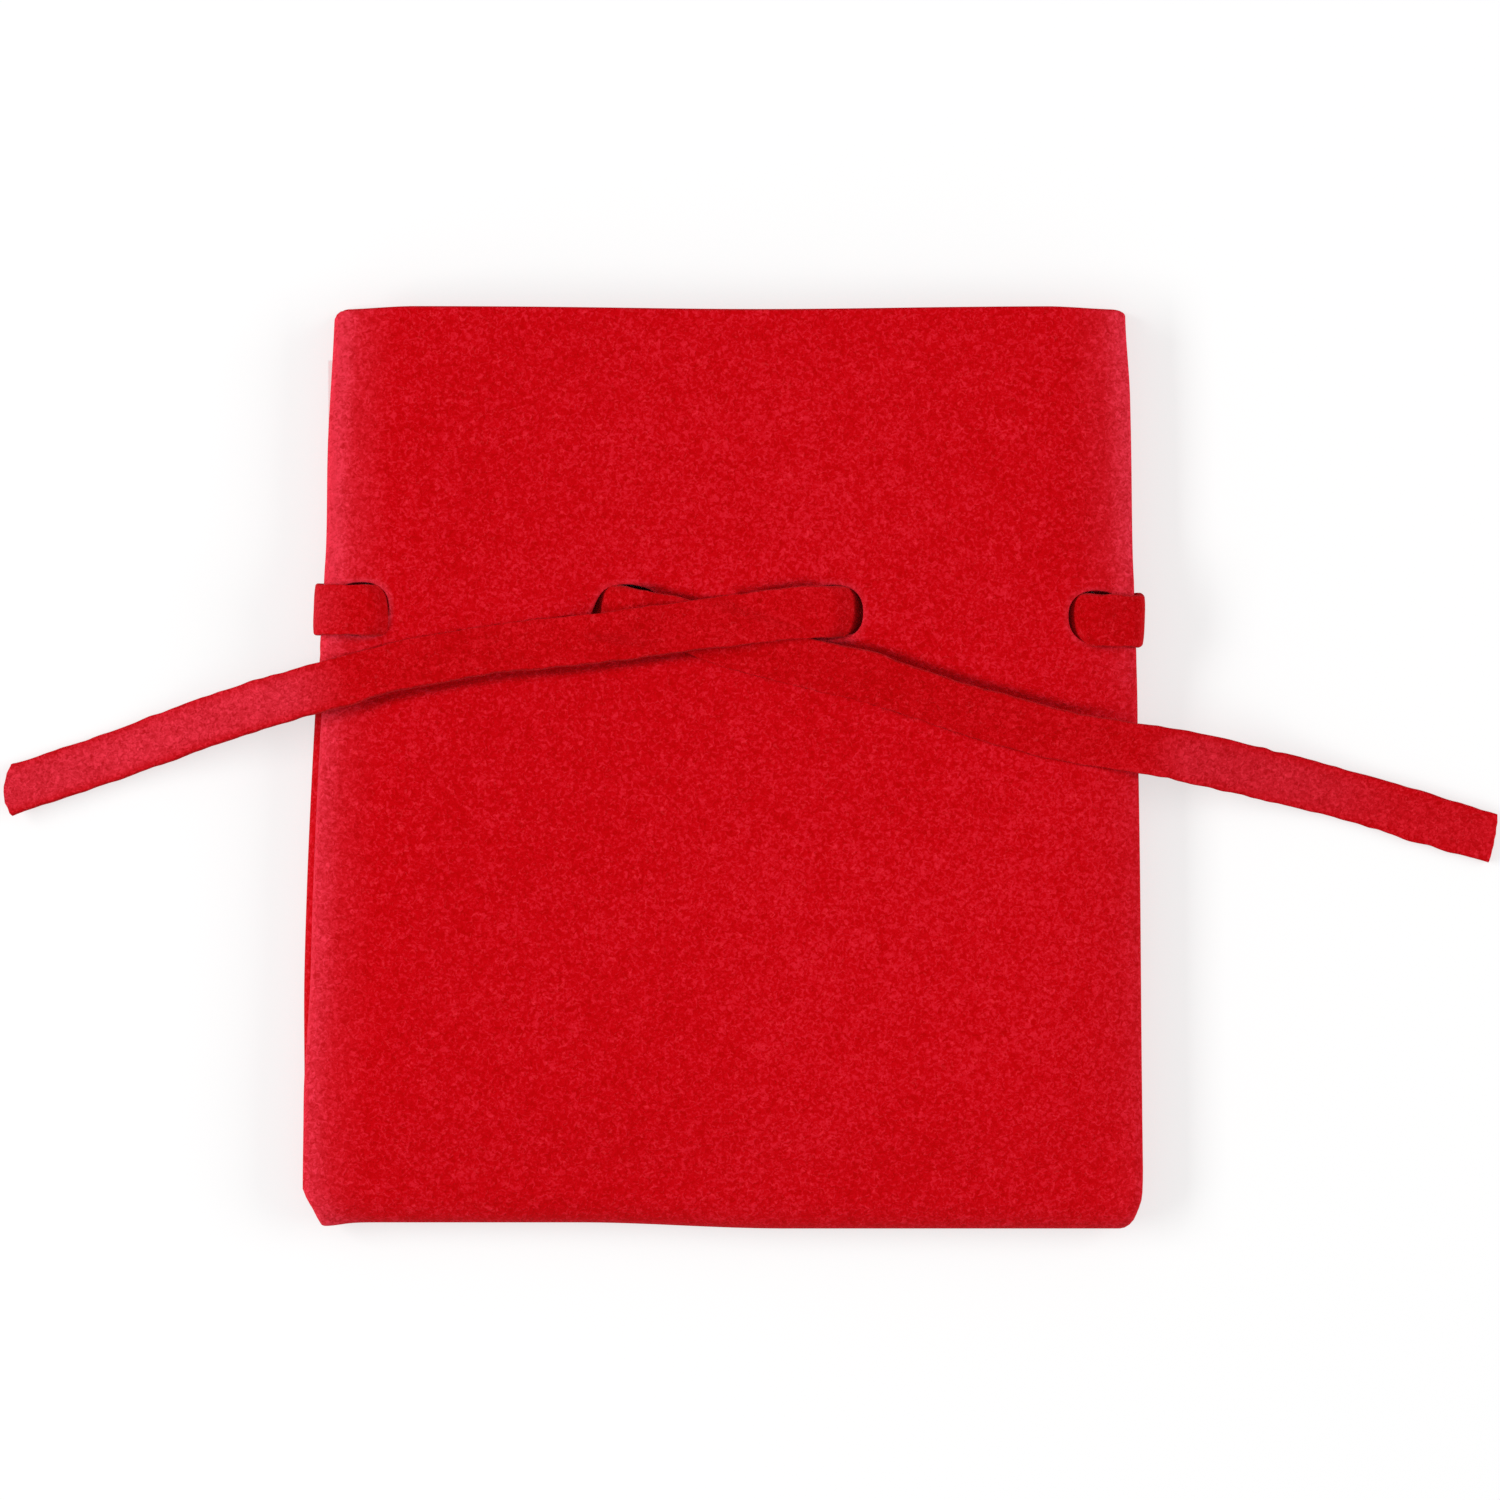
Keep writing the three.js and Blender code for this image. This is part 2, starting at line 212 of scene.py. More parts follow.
# x, y and how far the upper edge is turned up, in degrees
left_tail_on_pouch = [
    (7.6, 15.1, 10), (3.7, 14.7, 4), (-4, 13.7, -8), (-13, 12.5, -12),
    (-21.8, 11.6, -15), (-26.8, 10.8, -16), (-33, 9.6, -17), (-38, 8.2, -16),
]
right_tail_on_pouch = [
    (-7.6, 14.65, 8), (-4.6, 14.0, 6), (1.4, 11.9, 6), (8.1, 10.1, 12),
    (13.7, 8.8, 15), (22.9, 5.8, 15), (33.1, 3, 15), (38.6, 2.1, 14),
]
# x, y, height of the underside and turn
left_tail_off_pouch = [
    (-43, 6.9, 4.2, -10), (-47.6, 5.5, 2.9, -12), (-51.8, 4.1, 1.6, -14),
    (-56.5, 2.4, 0.6, -14), (-61.2, 0.7, 0.1, -14), (-70.3, -2.33, 0.1, -18),
]
right_tail_off_pouch = [
    (44, 1.2, 4, 9), (48.4, 0.3, 2.8, 10), (53.2, -0.85, 1.4, 12), (58.1, -2.05, 0.5, 12),
    (62.8, -3.3, 0.1, 10), (67.5, -4.75, 0.1, 8), (75.5, -7.1, 0.1, 6),
]


def press_at(x, y):
    """How far the front wall is pressed in at a place, by the nearer of the two ends."""
    depth = np.zeros(np.shape(x))
    for points in (left_tail_on_pouch, right_tail_on_pouch):
        for (x0, y0, turn0), (x1, y1, turn1) in zip(points, points[1:]):
            along_x, along_y = x1 - x0, y1 - y0
            length = math.hypot(along_x, along_y)
            share = np.clip(((x - x0) * along_x + (y - y0) * along_y) / length**2, 0, 1)
            gap = np.hypot(x - x0 - share * along_x, y - y0 - share * along_y)
            above = y > y0 + share * along_y
            upper_raised = mix(turn0, turn1, share) > 0
            opened, closed = smoothstep(gap, *OPEN_SIDE), smoothstep(gap, *CLOSED_SIDE)
            past = np.where(above == upper_raised, opened, closed)
            depth = np.maximum(depth, TAIL_PRESS * (1 - past))
    for side in (-1, 1):
        from_hole = np.hypot(x - side * CENTRE_HOLE_X, y - HOLE_Y)
        depth = depth * smoothstep(from_hole, *FREE_ROUND_HOLE)
    return depth


left_count = len(left_tail_on_pouch + left_tail_off_pouch)
right_count = len(right_tail_on_pouch + right_tail_off_pouch)
print("points of the free ends:", left_count, "on the left,", right_count, "on the right")

# %% [markdown]
# The outline comes next. The pouch narrows towards its mouth and bulges a little. Low on the left
# the back wall lies further out than the front, so a thin dark band shows beside the pale edge.
# The front stands highest in the middle and sinks towards the mouth.

# %% The outline and the height of the front
UPPER_WAIST = 0.15
LOWER_BULGE = 0.17
CHAMFER_POWER = 1.2
BACK_OUT = 0.2
FRONT_IN = 0.5
RIGHT_BACK_OUT = 0.1
LEFT_BELLY = 0.25
RIGHT_BELLY = 0.22


def dip_at(y):
    return DIP * (1 - smoothstep(np.abs(y - HOLE_Y), DIP_FLAT, DIP_FLAT + DIP_SHOULDER))


def seam_height(y):
    return EDGE_HEIGHT + dip_at(y)


def half_width(y, squeeze=1.0):
    up = np.clip((y - BOTTOM) / HEIGHT, 0, 1)
    taper = (BOTTOM_WIDTH - MOUTH_WIDTH) / 2 * up**TAPER_POWER
    waist = UPPER_WAIST * hill(y, 22, 9) - LOWER_BULGE * hill(y, -10, 20)
    return BOTTOM_WIDTH / 2 - taper - waist - CORNER_DRAW_IN * (1 - squeeze)


def left_peek(y):
    """How much the back shows past the front's left edge at a height, from 0 to 1."""
    return smoothstep(-y, -12, -6) * (1 - smoothstep(-y, 20, 33))


def edge_shift(side, y, fold):
    """How far an edge lies outside the even outline, for each side and each wall."""
    into_roll = np.clip((ROLL_START - y) / BOTTOM_ROLL, 0, 1)
    chamfer = CORNER_DRAW_IN * (1 - np.abs(fold)) - LEFT_CHAMFER * into_roll**CHAMFER_POWER
    back_peek = left_peek(y) * np.where(fold < 0, BACK_OUT, -FRONT_IN)
    left = chamfer + back_peek + LEFT_BELLY * hill(y, 31, 8)
    right_belly = (1 - smoothstep(y, 36, 43)) * smoothstep(y, BOTTOM, BOTTOM + 6)
    right = RIGHT_BELLY * right_belly + RIGHT_BACK_OUT * hill(y, 8, 5) * (fold < 0)
    return left * (side < 0) + right * (side > 0)


def crown_at(y):
    rise = CROWN * smoothstep(y, BOTTOM, BOTTOM + CROWN_BOTTOM_RISE)
    sink = MOUTH_SINK * smoothstep(y, MOUTH - MOUTH_SINK_LENGTH, MOUTH)
    return rise - sink - dip_at(y)


def front_up(x, y, axis):
    inward = np.clip((axis - np.abs(x)) / CROWN_SIDE_RISE, 0, 1)
    share = 1 - (1 - inward) ** CROWN_POWER
    pressed = press_at(x + lean(y), y + settle(x, y))
    return EDGE_HEIGHT - CLOTH / 2 + (crown_at(y) + swell(x, y) * inward - pressed) * share


def pouch_top(x, y):
    """Height of the outer front face above the table, seen from above."""
    y_flat = y - settle(x, y)
    x_flat = x - lean(y_flat)
    axis = half_width(y_flat) - EDGE_ROLL + edge_shift(np.sign(x_flat), y_flat, 1)
    past = np.clip(np.abs(x_flat) - axis, 0, EDGE_ROLL)
    wall = seam_height(y_flat) + front_up(x_flat, y_flat, axis) + CLOTH / 2
    rolled = seam_height(y_flat) + ROLL_CENTRE + np.sqrt(EDGE_ROLL**2 - past**2)
    outside = np.abs(x_flat) - axis > EDGE_ROLL
    return np.where(outside, 0.0, np.where(past > 0, rolled, wall))


hole_axis = float(half_width(HOLE_Y)) - EDGE_ROLL
side_hole_x = hole_axis + EDGE_ROLL - SIDE_HOLE_INSET
print("front wall in the middle, mm above the table:", round(float(pouch_top(0, -10)), 2))

# %% [markdown]
# ## The drawstring's route
# The strip is about 33 cm long. Each free end comes up out of a middle hole and lies across the
# front. The rest goes in through the middle holes, out at the side holes, round the edges and
# along the back. A cord is made first as a line: points where it is held, and one smooth curve
# through them. Then the line is walked in equal steps, so that the strip has even faces.

# %% Points along the route
FRONT_GAP = 0.1
INSIDE_GAP = 0.25
TABLE_GAP = 0.12
SETTLE_LENGTH = 1.6
ROUTE_STEP = 0.4
half_crossing = HOLE_HALF_X / 2
half_strip = STRIP_THICKNESS / 2
LIES_ON = 2.25
LEFT_LOOP_DRAG = 0.15
RIGHT_LOOP_DRAG = 0.3
LOOP_FROM = (28, 34)


def lying(x, y):
    across = [pouch_top(x, y + aside) for aside in (-LIES_ON, 0, LIES_ON)]
    return float(max(across)) + FRONT_GAP + half_strip


def tail(on_pouch, off_pouch):
    on_cloth = [(x, y, lying(x, y), turn) for x, y, turn in on_pouch]
    return on_cloth + [(x, y, under + half_strip, turn) for x, y, under, turn in off_pouch]


def as_lying(x, z, turn):
    on_top = z > float(seam_height(HOLE_Y))
    drag = RIGHT_LOOP_DRAG if x > 0 else LEFT_LOOP_DRAG
    drag *= on_top * float(smoothstep(abs(x), *LOOP_FROM))
    return (x + float(lean(HOLE_Y)), HOLE_Y + float(settle(x, HOLE_Y)) - drag, z, turn)


def wall_middle(x):
    return float(seam_height(HOLE_Y) + front_up(x, HOLE_Y, hole_axis))


def on_front(x):
    return wall_middle(x) + CLOTH / 2 + FRONT_GAP + half_strip


def under_front(x, drop):
    return wall_middle(x) - CLOTH / 2 - INSIDE_GAP - half_strip - drop


print("strip over the front in mm above the table:", round(on_front(0), 2))

# %% [markdown]
# One function gives the threading of one side, from the middle front hole to the middle back
# hole. Called with 1 and with -1 it gives both sides. Inside the pouch the strip hangs free of
# the front wall, so a hole that it dives into looks dark.

# %% Thread the strip through the holes
INSIDE_DROP = 0.8
LEFT_SIDE_DROP = 0.2
RIGHT_SIDE_DROP = 0.7
CENTRE_OVER_HOLE = 0.5
LEFT_OVER_HOLE = 1.6
RIGHT_OVER_HOLE = 0.5
RIGHT_LOOP_OUT = 0.3
PAST_RIM = HOLE_HALF_X + 0.2
SHORT_OF_RIM = HOLE_HALF_X - 0.1
LOOP_TWIST = 11.0
RIGHT_HOLE_TURN = 10
LEFT_HOLE_TURN = 6


def threading(side):
    reach = EDGE_ROLL + FRONT_GAP + half_strip
    slant = reach * math.sqrt(0.5)
    middle = float(seam_height(HOLE_Y))
    upper, lower = middle + ROLL_CENTRE, middle - ROLL_CENTRE
    centre_under = CENTRE_HOLE_X + SHORT_OF_RIM
    side_under = side_hole_x - (SHORT_OF_RIM if side > 0 else PAST_RIM)
    side_over = side_hole_x - (RIGHT_OVER_HOLE if side > 0 else LEFT_OVER_HOLE)
    loop_x = hole_axis + (RIGHT_LOOP_OUT if side > 0 else 0)
    centre_in, centre_out = CENTRE_HOLE_X - half_crossing, CENTRE_HOLE_X + half_crossing
    side_in, side_out = side_hole_x - half_crossing, side_hole_x + half_crossing
    side_drop = RIGHT_SIDE_DROP if side > 0 else LEFT_SIDE_DROP
    under_back = TABLE_GAP + half_strip
    on_back = DIP + CLOTH + INSIDE_GAP + half_strip
    back_x = [side_in, side_in - SETTLE_LENGTH, centre_out + SETTLE_LENGTH, centre_out]
    turn = side * LOOP_TWIST
    run = [
        (centre_under, under_front(side * centre_under, INSIDE_DROP), 0),
        (centre_under + SETTLE_LENGTH, under_front(side * centre_under, INSIDE_DROP), 0),
        (side_under - SETTLE_LENGTH, under_front(side * side_under, side_drop), 0),
        (side_under, under_front(side * side_under, side_drop), 0),
        (side_over, on_front(side * side_over), turn),
        (hole_axis, upper + reach, turn),
        (loop_x + slant, upper + slant, turn / 2),
        (loop_x + reach, upper, 0),
        (loop_x + reach, lower, 0),
        (loop_x + slant, lower - slant, 0),
        (hole_axis, lower - reach, 0),
        (side_out, under_back, 0),
    ]
    run += [(x, on_back, 0) for x in back_x]
    run += [(centre_in, under_back, 0), (centre_in - SETTLE_LENGTH, under_back, 0)]
    return [as_lying(side * x, z, turn) for x, z, turn in run]


def leave(side, turn):
    x = side * (CENTRE_HOLE_X + CENTRE_OVER_HOLE)
    return as_lying(x, on_front(x), turn)


left_tail = tail(left_tail_on_pouch, left_tail_off_pouch)
right_tail = tail(right_tail_on_pouch, right_tail_off_pouch)
through_right = [leave(1, RIGHT_HOLE_TURN)] + threading(1)
through_left = threading(-1)[::-1] + [leave(-1, LEFT_HOLE_TURN)]
route_points = np.array(left_tail[::-1] + through_right + through_left + right_tail)
print("points along the route:", len(route_points))

# %% Draw one smooth curve through the points
CURVE_STEPS = 40


def curve_through(points):
    """A centripetal curve through all points, and the point number that each step lies at."""
    ends = np.vstack([2 * points[0] - points[1], points, 2 * points[-1] - points[-2]])
    gaps = np.sqrt(np.linalg.norm(np.diff(ends, axis=0), axis=1))
    t = np.linspace(0, 1, CURVE_STEPS, endpoint=False)[:, None]
    pieces, numbers = [], []
    for i in range(1, len(ends) - 2):
        before, here, there, after = ends[i - 1 : i + 3]
        a, b, c = gaps[i - 1 : i + 2]
        start = b * ((here - before) / a - (there - before) / (a + b) + (there - here) / b)
        stop = b * ((there - here) / b - (after - here) / (b + c) + (after - there) / c)
        pieces.append(
            here * (2 * t**3 - 3 * t**2 + 1)
            + start * (t**3 - 2 * t**2 + t)
            + there * (3 * t**2 - 2 * t**3)
            + stop * (t**3 - t**2)
        )
        numbers.append(i - 1 + t[:, 0])
    return np.vstack(pieces + [points[-1:]]), np.append(np.concatenate(numbers), len(points) - 1)


dense, dense_number = curve_through(route_points[:, :3])
along = np.append(0, np.cumsum(np.linalg.norm(np.diff(dense, axis=0), axis=1)))
strip_length = along[-1]
steps = np.linspace(0, strip_length, int(strip_length / ROUTE_STEP) + 1)
route = np.column_stack([np.interp(steps, along, dense[:, k]) for k in range(3)])
route_number = np.interp(steps, along, dense_number)
print("strip length in mm:", round(float(strip_length), 1), "rings:", len(route))

# %% [markdown]
# ## The strip itself
# A limp flat strip doesn't keep one stiff section: where it crosses the other end, one edge
# rises before the other. So the height is worked out for several places across the width. Each
# place is lifted to what lies below it, and the lift is smoothed along the strip. Where the
# ends hang down to the table they twist a little, one edge up.

# %% Lift the strip over what lies below it
EDGE_PRESS = 0.6
CROSSING_GAP = 0.4
LIFT_FROM_HOLE = (0.5, 3.0)
LIFT_AHEAD = 1.6
LIFT_SMOOTHING = 1.3
TWIST_SMOOTHING = 2.5
WIDTH_PLACES = np.linspace(-1, 1, 9) * LIES_ON
heading = np.gradient(route, axis=0)
heading /= np.linalg.norm(heading, axis=1)[:, None]
wide = np.array([0.0, 1.0, 0.0]) - heading * heading[:, 1:2]
wide /= np.linalg.norm(wide, axis=1)[:, None]
thick = np.cross(heading, wide)

left_leave_number = len(left_tail)
right_leave_number = len(route_points) - 1 - len(right_tail)
on_left_tail = route_number < left_leave_number
on_right_tail = route_number > right_leave_number
from_left_hole = (steps[on_left_tail][-1] - steps) * on_left_tail
from_right_hole = (steps - steps[on_right_tail][0]) * on_right_tail


def smooth_along(values, reach):
    count = int(3 * reach / ROUTE_STEP)
    weights = np.exp(-0.5 * (np.arange(-count, count + 1) * ROUTE_STEP / reach) ** 2)
    padded = np.pad(values, ((count, count), (0, 0)), mode="edge")
    weights = weights / weights.sum()
    return np.column_stack([np.convolve(column, weights, mode="valid") for column in padded.T])


def widest_along(values, reach):
    count = int(reach / ROUTE_STEP)
    padded = np.pad(values, ((count, count), (0, 0)), mode="edge")
    return np.max([padded[k : k + len(values)] for k in range(2 * count + 1)], axis=0)


def lift_for(mask, clear_of_hole, support):
    places = route[:, None, :] + wide[:, None, :] * WIDTH_PLACES[None, :, None]
    needed = support(places[..., 0], places[..., 1]) + FRONT_GAP + half_strip - places[..., 2]
    needed -= np.sin(twist)[:, None] * WIDTH_PLACES[None, :] + raised[:, None]
    needed = np.maximum(needed, 0) * smoothstep(clear_of_hole, *LIFT_FROM_HOLE)[:, None]
    needed = widest_along(needed * mask[:, None], LIFT_AHEAD)
    return smooth_along(needed, LIFT_SMOOTHING) * mask[:, None]


turn = np.interp(route_number, np.arange(len(route_points)), route_points[:, 3])
twist = np.radians(smooth_along(turn[:, None], TWIST_SMOOTHING)[:, 0])
raised = (STRIP_WIDTH / 2 - EDGE_PRESS) * np.abs(np.sin(twist))

right_lift = lift_for(on_right_tail, from_right_hole, pouch_top)


def pouch_or_right_tail(x, y):
    """Height of what the left end lies on: the front wall, or the other end of the strip."""
    line = route[on_right_tail]
    tops = line[:, 2] + right_lift[on_right_tail].mean(axis=1) + half_strip
    height = pouch_top(x, y)
    apart = (x[..., None] - line[:, 0]) ** 2 + (y[..., None] - line[:, 1]) ** 2
    nearest = apart.argmin(axis=-1)
    over = apart.min(axis=-1) < (STRIP_WIDTH / 2) ** 2
    return np.where(over, np.maximum(height, tops[nearest] + CROSSING_GAP), height)


left_lift = lift_for(on_left_tail, from_left_hole, pouch_or_right_tail)
lift = left_lift + right_lift
print("highest lift in mm:", round(float(lift.max()), 2))

# %% [markdown]
# The section of the strip is a flat rectangle with softened corners. Rings of that section will
# stand along the route, and faces will join them.

# %% The strip's section
CORNER_RADIUS = 0.2
FLAT_STEPS = 8
CORNER_TURNS = np.radians([0, 30, 60, 90])


def strip_section():
    inner_w, inner_h = STRIP_WIDTH / 2 - CORNER_RADIUS, half_strip - CORNER_RADIUS
    corner = CORNER_RADIUS * np.column_stack([np.cos(CORNER_TURNS), np.sin(CORNER_TURNS)])
    flat = np.linspace(inner_w, -inner_w, FLAT_STEPS + 1)[1:-1]
    quarter = corner + [inner_w, inner_h]
    top = np.column_stack([flat, np.full(len(flat), half_strip)])
    upper = np.vstack([quarter, top, quarter[::-1] * [-1, 1]])
    return np.vstack([upper, -upper])


section = strip_section()
print("points round the section:", len(section))

# %% [markdown]
# Where the strip dives under a rounded rim, its edges go under sooner than its middle. Its width
# varies a little, it flares at the holes, and its cut edges waver. The two ends were cut by hand,
# so their rings are slanted and uneven.

# %% Sweep the section along the route
SOONER = 0.75
RIM_REACH = (4, 7)
RIM_FLARE = 0.05
RIM_FLARE_LENGTH = 3.0
WIDTH_VARIES = 0.05
WIDTH_SMOOTHING = 2.0
EDGE_WAVE = 0.07
EDGE_WAVE_SMOOTHING = 0.45
EDGE_DRAW = 0.14


def under_rims(across):
    """How much lower the strip lies at each place across, because a rounded rim meets it sooner."""
    outward = np.minimum(np.abs(across), STRIP_WIDTH / 2) / HOLE_HALF_Y
    lower = np.zeros((len(steps), len(across)))
    for point, way, squareness, pull in rim_points:
        later = HOLE_HALF_X * (1 - (1 - outward**squareness) ** (1 / squareness)) + pull * across
        at = np.interp(point, route_number, steps)
        near = 1 - smoothstep(np.abs(steps - at), *RIM_REACH)
        shifted = steps[:, None] + way * SOONER * later[None, :] * near[:, None]
        lower += np.interp(shifted, steps, route[:, 2]) - route[:, 2:3]
    return lower


first_dive = left_leave_number + 0.5
last_rise = right_leave_number - 0.5
# point on the route, way to the rim, squareness of the hole and its pull aside
rim_points = [
    (first_dive, 1, RIGHT_SQUARENESS, 0),
    (first_dive + 4, -1, SIDE_SQUARENESS, 0),
    (last_rise - 4, 1, SIDE_SQUARENESS, 0),
    (last_rise, -1, LEFT_SQUARENESS, LEFT_PULL),
]
draws = np.random.default_rng(7)
width_share = 1 + smooth_along(draws.normal(0, WIDTH_VARIES, (len(route), 1)), WIDTH_SMOOTHING)
for rim_point in rim_points:
    at = np.interp(rim_point[0], route_number, steps)
    width_share[:, 0] += RIM_FLARE * hill(steps, at, RIM_FLARE_LENGTH)
lift_at_section = np.array([np.interp(section[:, 0], WIDTH_PLACES, row) for row in lift])
turned_w = section[:, 0] * np.cos(twist)[:, None] - section[:, 1] * np.sin(twist)[:, None]
turned_h = section[:, 0] * np.sin(twist)[:, None] + section[:, 1] * np.cos(twist)[:, None]
rings = route[:, None, :] + wide[:, None, :] * (turned_w * width_share)[..., None]
rings = rings + thick[:, None, :] * turned_h[..., None]
rings[..., 2] += lift_at_section + raised[:, None] + under_rims(section[:, 0])

edge_wave = smooth_along(draws.normal(0, EDGE_WAVE, (len(route), 2)), EDGE_WAVE_SMOOTHING)
outer = (np.abs(section[:, 0]) / (STRIP_WIDTH / 2)) ** 2 * np.sign(section[:, 0])
waved = np.where(section[:, 0] > 0, edge_wave[:, 0:1], edge_wave[:, 1:2]) * outer
rings += wide[:, None, :] * waved[..., None]

edge_share = (np.abs(section[:, 0]) / (STRIP_WIDTH / 2)) ** 4
from_middle = np.abs(route[:, 0] - lean(HOLE_Y))
loop_out = EDGE_DRAW * smoothstep(from_middle, hole_axis, hole_axis + EDGE_ROLL)
loop_out *= ~(on_left_tail | on_right_tail)
rings[..., 0] -= np.sign(route[:, 0:1]) * loop_out[:, None] * edge_share[None, :]

# which ring, slant, bulge and roughness of the cut, and the way outwards
END_CUTS = ((0, -0.3, 0.8, 0.08, -1), (-1, -0.1, 0.15, 0.03, 1))
END_UNDERCUT = 0.1
END_FADE = 1.2
for end, slant, bulge, rough, sign in END_CUTS:
    rounded = bulge * (1 - (section[:, 0] / (STRIP_WIDTH / 2)) ** 2)
    uneven = rough * np.sin(section[:, 0] * 5.1 + end)
    ragged = slant * section[:, 0] + rounded + uneven + END_UNDERCUT * section[:, 1]
    reach = np.clip(1 - np.abs(steps - steps[end]) / END_FADE, 0, 1)
    rings += sign * heading[:, None, :] * (ragged[None, :] * reach[:, None])[..., None]
print("strip rings:", rings.shape)

# %% [markdown]
# The rings become a mesh. The cut sides are marked for their own material, because there the
# felted core shows. Each point also stores a paler share for the two free ends. That is
# painted light, as if the white floor round the ends lit them more.

# %% Make the strip's mesh
SMOOTH_UP_TO = math.radians(50)
LEFT_TIP_PAINTED_LIGHT = 0.55
RIGHT_TIP_PAINTED_LIGHT = 0.34
RIGHT_TIP_LIGHT_FADE = 0.7
TIP_LIGHT_ACROSS = 1.1
count = len(section)
strip_faces = []
strip_cut = []
side_face = np.abs(section[:, 0]) > STRIP_WIDTH / 2 - 0.7 * CORNER_RADIUS
for i in range(len(rings) - 1):
    for j in range(count):
        k = (j + 1) % count
        here, there = i * count, (i + 1) * count
        strip_faces.append((here + j, there + j, there + k, here + k))
        strip_cut.append(bool(side_face[j] and side_face[k]))
last = (len(rings) - 1) * count
for j in range(count // 2 - 1):
    cap = (j, j + 1, count - 2 - j, count - 1 - j)
    strip_faces += [cap, tuple(last + corner for corner in reversed(cap))]
    strip_cut += [True, True]

strip_mesh = bpy.data.meshes.new("drawstring_strip")
strip_mesh.from_pydata((rings.reshape(-1, 3) * MM).tolist(), [], strip_faces)
strip = bpy.data.objects.new("drawstring_strip", strip_mesh)
bpy.context.collection.objects.link(strip)


def only(piece):
    bpy.ops.object.select_all(action="DESELECT")
    piece.select_set(True)
    bpy.context.view_layer.objects.active = piece


def give_wear_and_light(mesh, values):
    """Store how much paler the cloth is at each point, from wear and from painted light. The
    material reads it.
    """
    wear_and_light = mesh.attributes.new("wear_and_light", "FLOAT", "POINT")
    wear_and_light.data.foreach_set("value", np.asarray(values, float))


route_x = route[:, 0]
# painted light: the free ends of the strip are paler, as if lit by the white floor round them, the
# left end most
tip_painted_light = LEFT_TIP_PAINTED_LIGHT * smoothstep(-route_x, 36, 44)
right_light_fade = 1 - RIGHT_TIP_LIGHT_FADE * smoothstep(route_x, 56, 68)
tip_painted_light += RIGHT_TIP_PAINTED_LIGHT * smoothstep(route_x, 40, 47) * right_light_fade
give_wear_and_light(strip_mesh, np.outer(tip_painted_light, TIP_LIGHT_ACROSS * (1 - edge_share)).ravel())
only(strip)
bpy.ops.object.mode_set(mode="EDIT")
bpy.ops.mesh.select_all(action="SELECT")
bpy.ops.mesh.normals_make_consistent(inside=False)
bpy.ops.object.mode_set(mode="OBJECT")
bpy.ops.object.shade_smooth_by_angle(angle=SMOOTH_UP_TO)
print("strip faces:", len(strip_mesh.polygons))

# %% [markdown]
# ## The pouch's sheet
# A bag could be modelled as a box and hollowed out, but then its seams would have to be carved.
# Here the sheet is bent as it is sewn: from the free edge of one allowance, out to the seam,
# round the turned edge, across the wall, and round to the other allowance. The same strip of
# cloth goes down the front, through the bottom fold and up the back. The middle of the cloth is
# a grid of points, finer round the holes, and Solidify gives it its thickness.

# %% Grid lines of the sheet
FINE_STEP = 0.3
HOLE_SQUARE = 8 * FINE_STEP
HOLE_BLOCK = 15 * FINE_STEP
COARSE_STEP = 1.2
MID_ROLL = EDGE_ROLL - CLOTH / 2
ROLL_LENGTH = math.pi * MID_ROLL
ALLOWANCE_LENGTH = 2.8
ALLOWANCE_STEP = 0.9
LIP = 1.5
TAILS_REACH_DOWN_TO = -1.5
FOLD_STEPS = 14


def spread(start, stop, step):
    count = math.ceil(round(abs(stop - start) / step, 6))
    return list(np.linspace(start, stop, count + 1)[1:])


def across_lines():
    lines = [0.0]
    roll_end = hole_axis + ROLL_LENGTH
    for stop, step in (
        (CENTRE_HOLE_X - HOLE_BLOCK, COARSE_STEP),
        (CENTRE_HOLE_X + HOLE_BLOCK, FINE_STEP),
        (side_hole_x - HOLE_BLOCK, COARSE_STEP),
        (side_hole_x + HOLE_BLOCK, FINE_STEP),
        (roll_end, FINE_STEP),
        (roll_end + ALLOWANCE_LENGTH, ALLOWANCE_STEP),
    ):
        lines += spread(lines[-1], stop, step)
    return np.array([-u for u in reversed(lines[1:])] + lines)


def along_lines(fine_to):
    lines = [MOUTH]
    for stop, step in (
        (MOUTH - LIP, FINE_STEP / 2),
        (HOLE_Y + HOLE_BLOCK, COARSE_STEP),
        (HOLE_Y - HOLE_BLOCK, FINE_STEP),
        (fine_to, FINE_STEP),
        (ROLL_START, COARSE_STEP),
    ):
        lines += spread(lines[-1], stop, step)
    return lines


front_y = along_lines(TAILS_REACH_DOWN_TO)
back_y = along_lines(HOLE_Y - HOLE_BLOCK)
fold_turn = np.radians(np.linspace(0, 180, FOLD_STEPS + 1)[1:-1])
fold_y = ROLL_START - (BOTTOM_ROLL - CLOTH / 2) * np.sin(fold_turn)
row_y = np.concatenate([front_y, fold_y, back_y[::-1]])
row_fold = np.concatenate([np.ones(len(front_y)), np.cos(fold_turn), -np.ones(len(back_y))])
column_u = across_lines()
grid_u, grid_y = np.meshgrid(column_u, row_y)
grid_fold = np.repeat(row_fold[:, None], len(column_u), axis=1)
print("sheet grid:", grid_u.shape)

# %% [markdown]
# A rounded hole in a square grid has stair-stepped edges. So a square block of the grid round
# each hole is pushed into rings: the inner square becomes the hole's rim, and further out the
# rings fade back into squares. The faces inside the rim are then left out. The holes were punched
# round, but the strip has pulled them squarer, and it drags the left middle one aside.

# %% Round the grid about the holes
RIM_LIMIT = 1.3 * HOLE_HALF_X
FLUFF_WIDTH = 0.6
SLACK = 1e-6
TINY = 1e-9
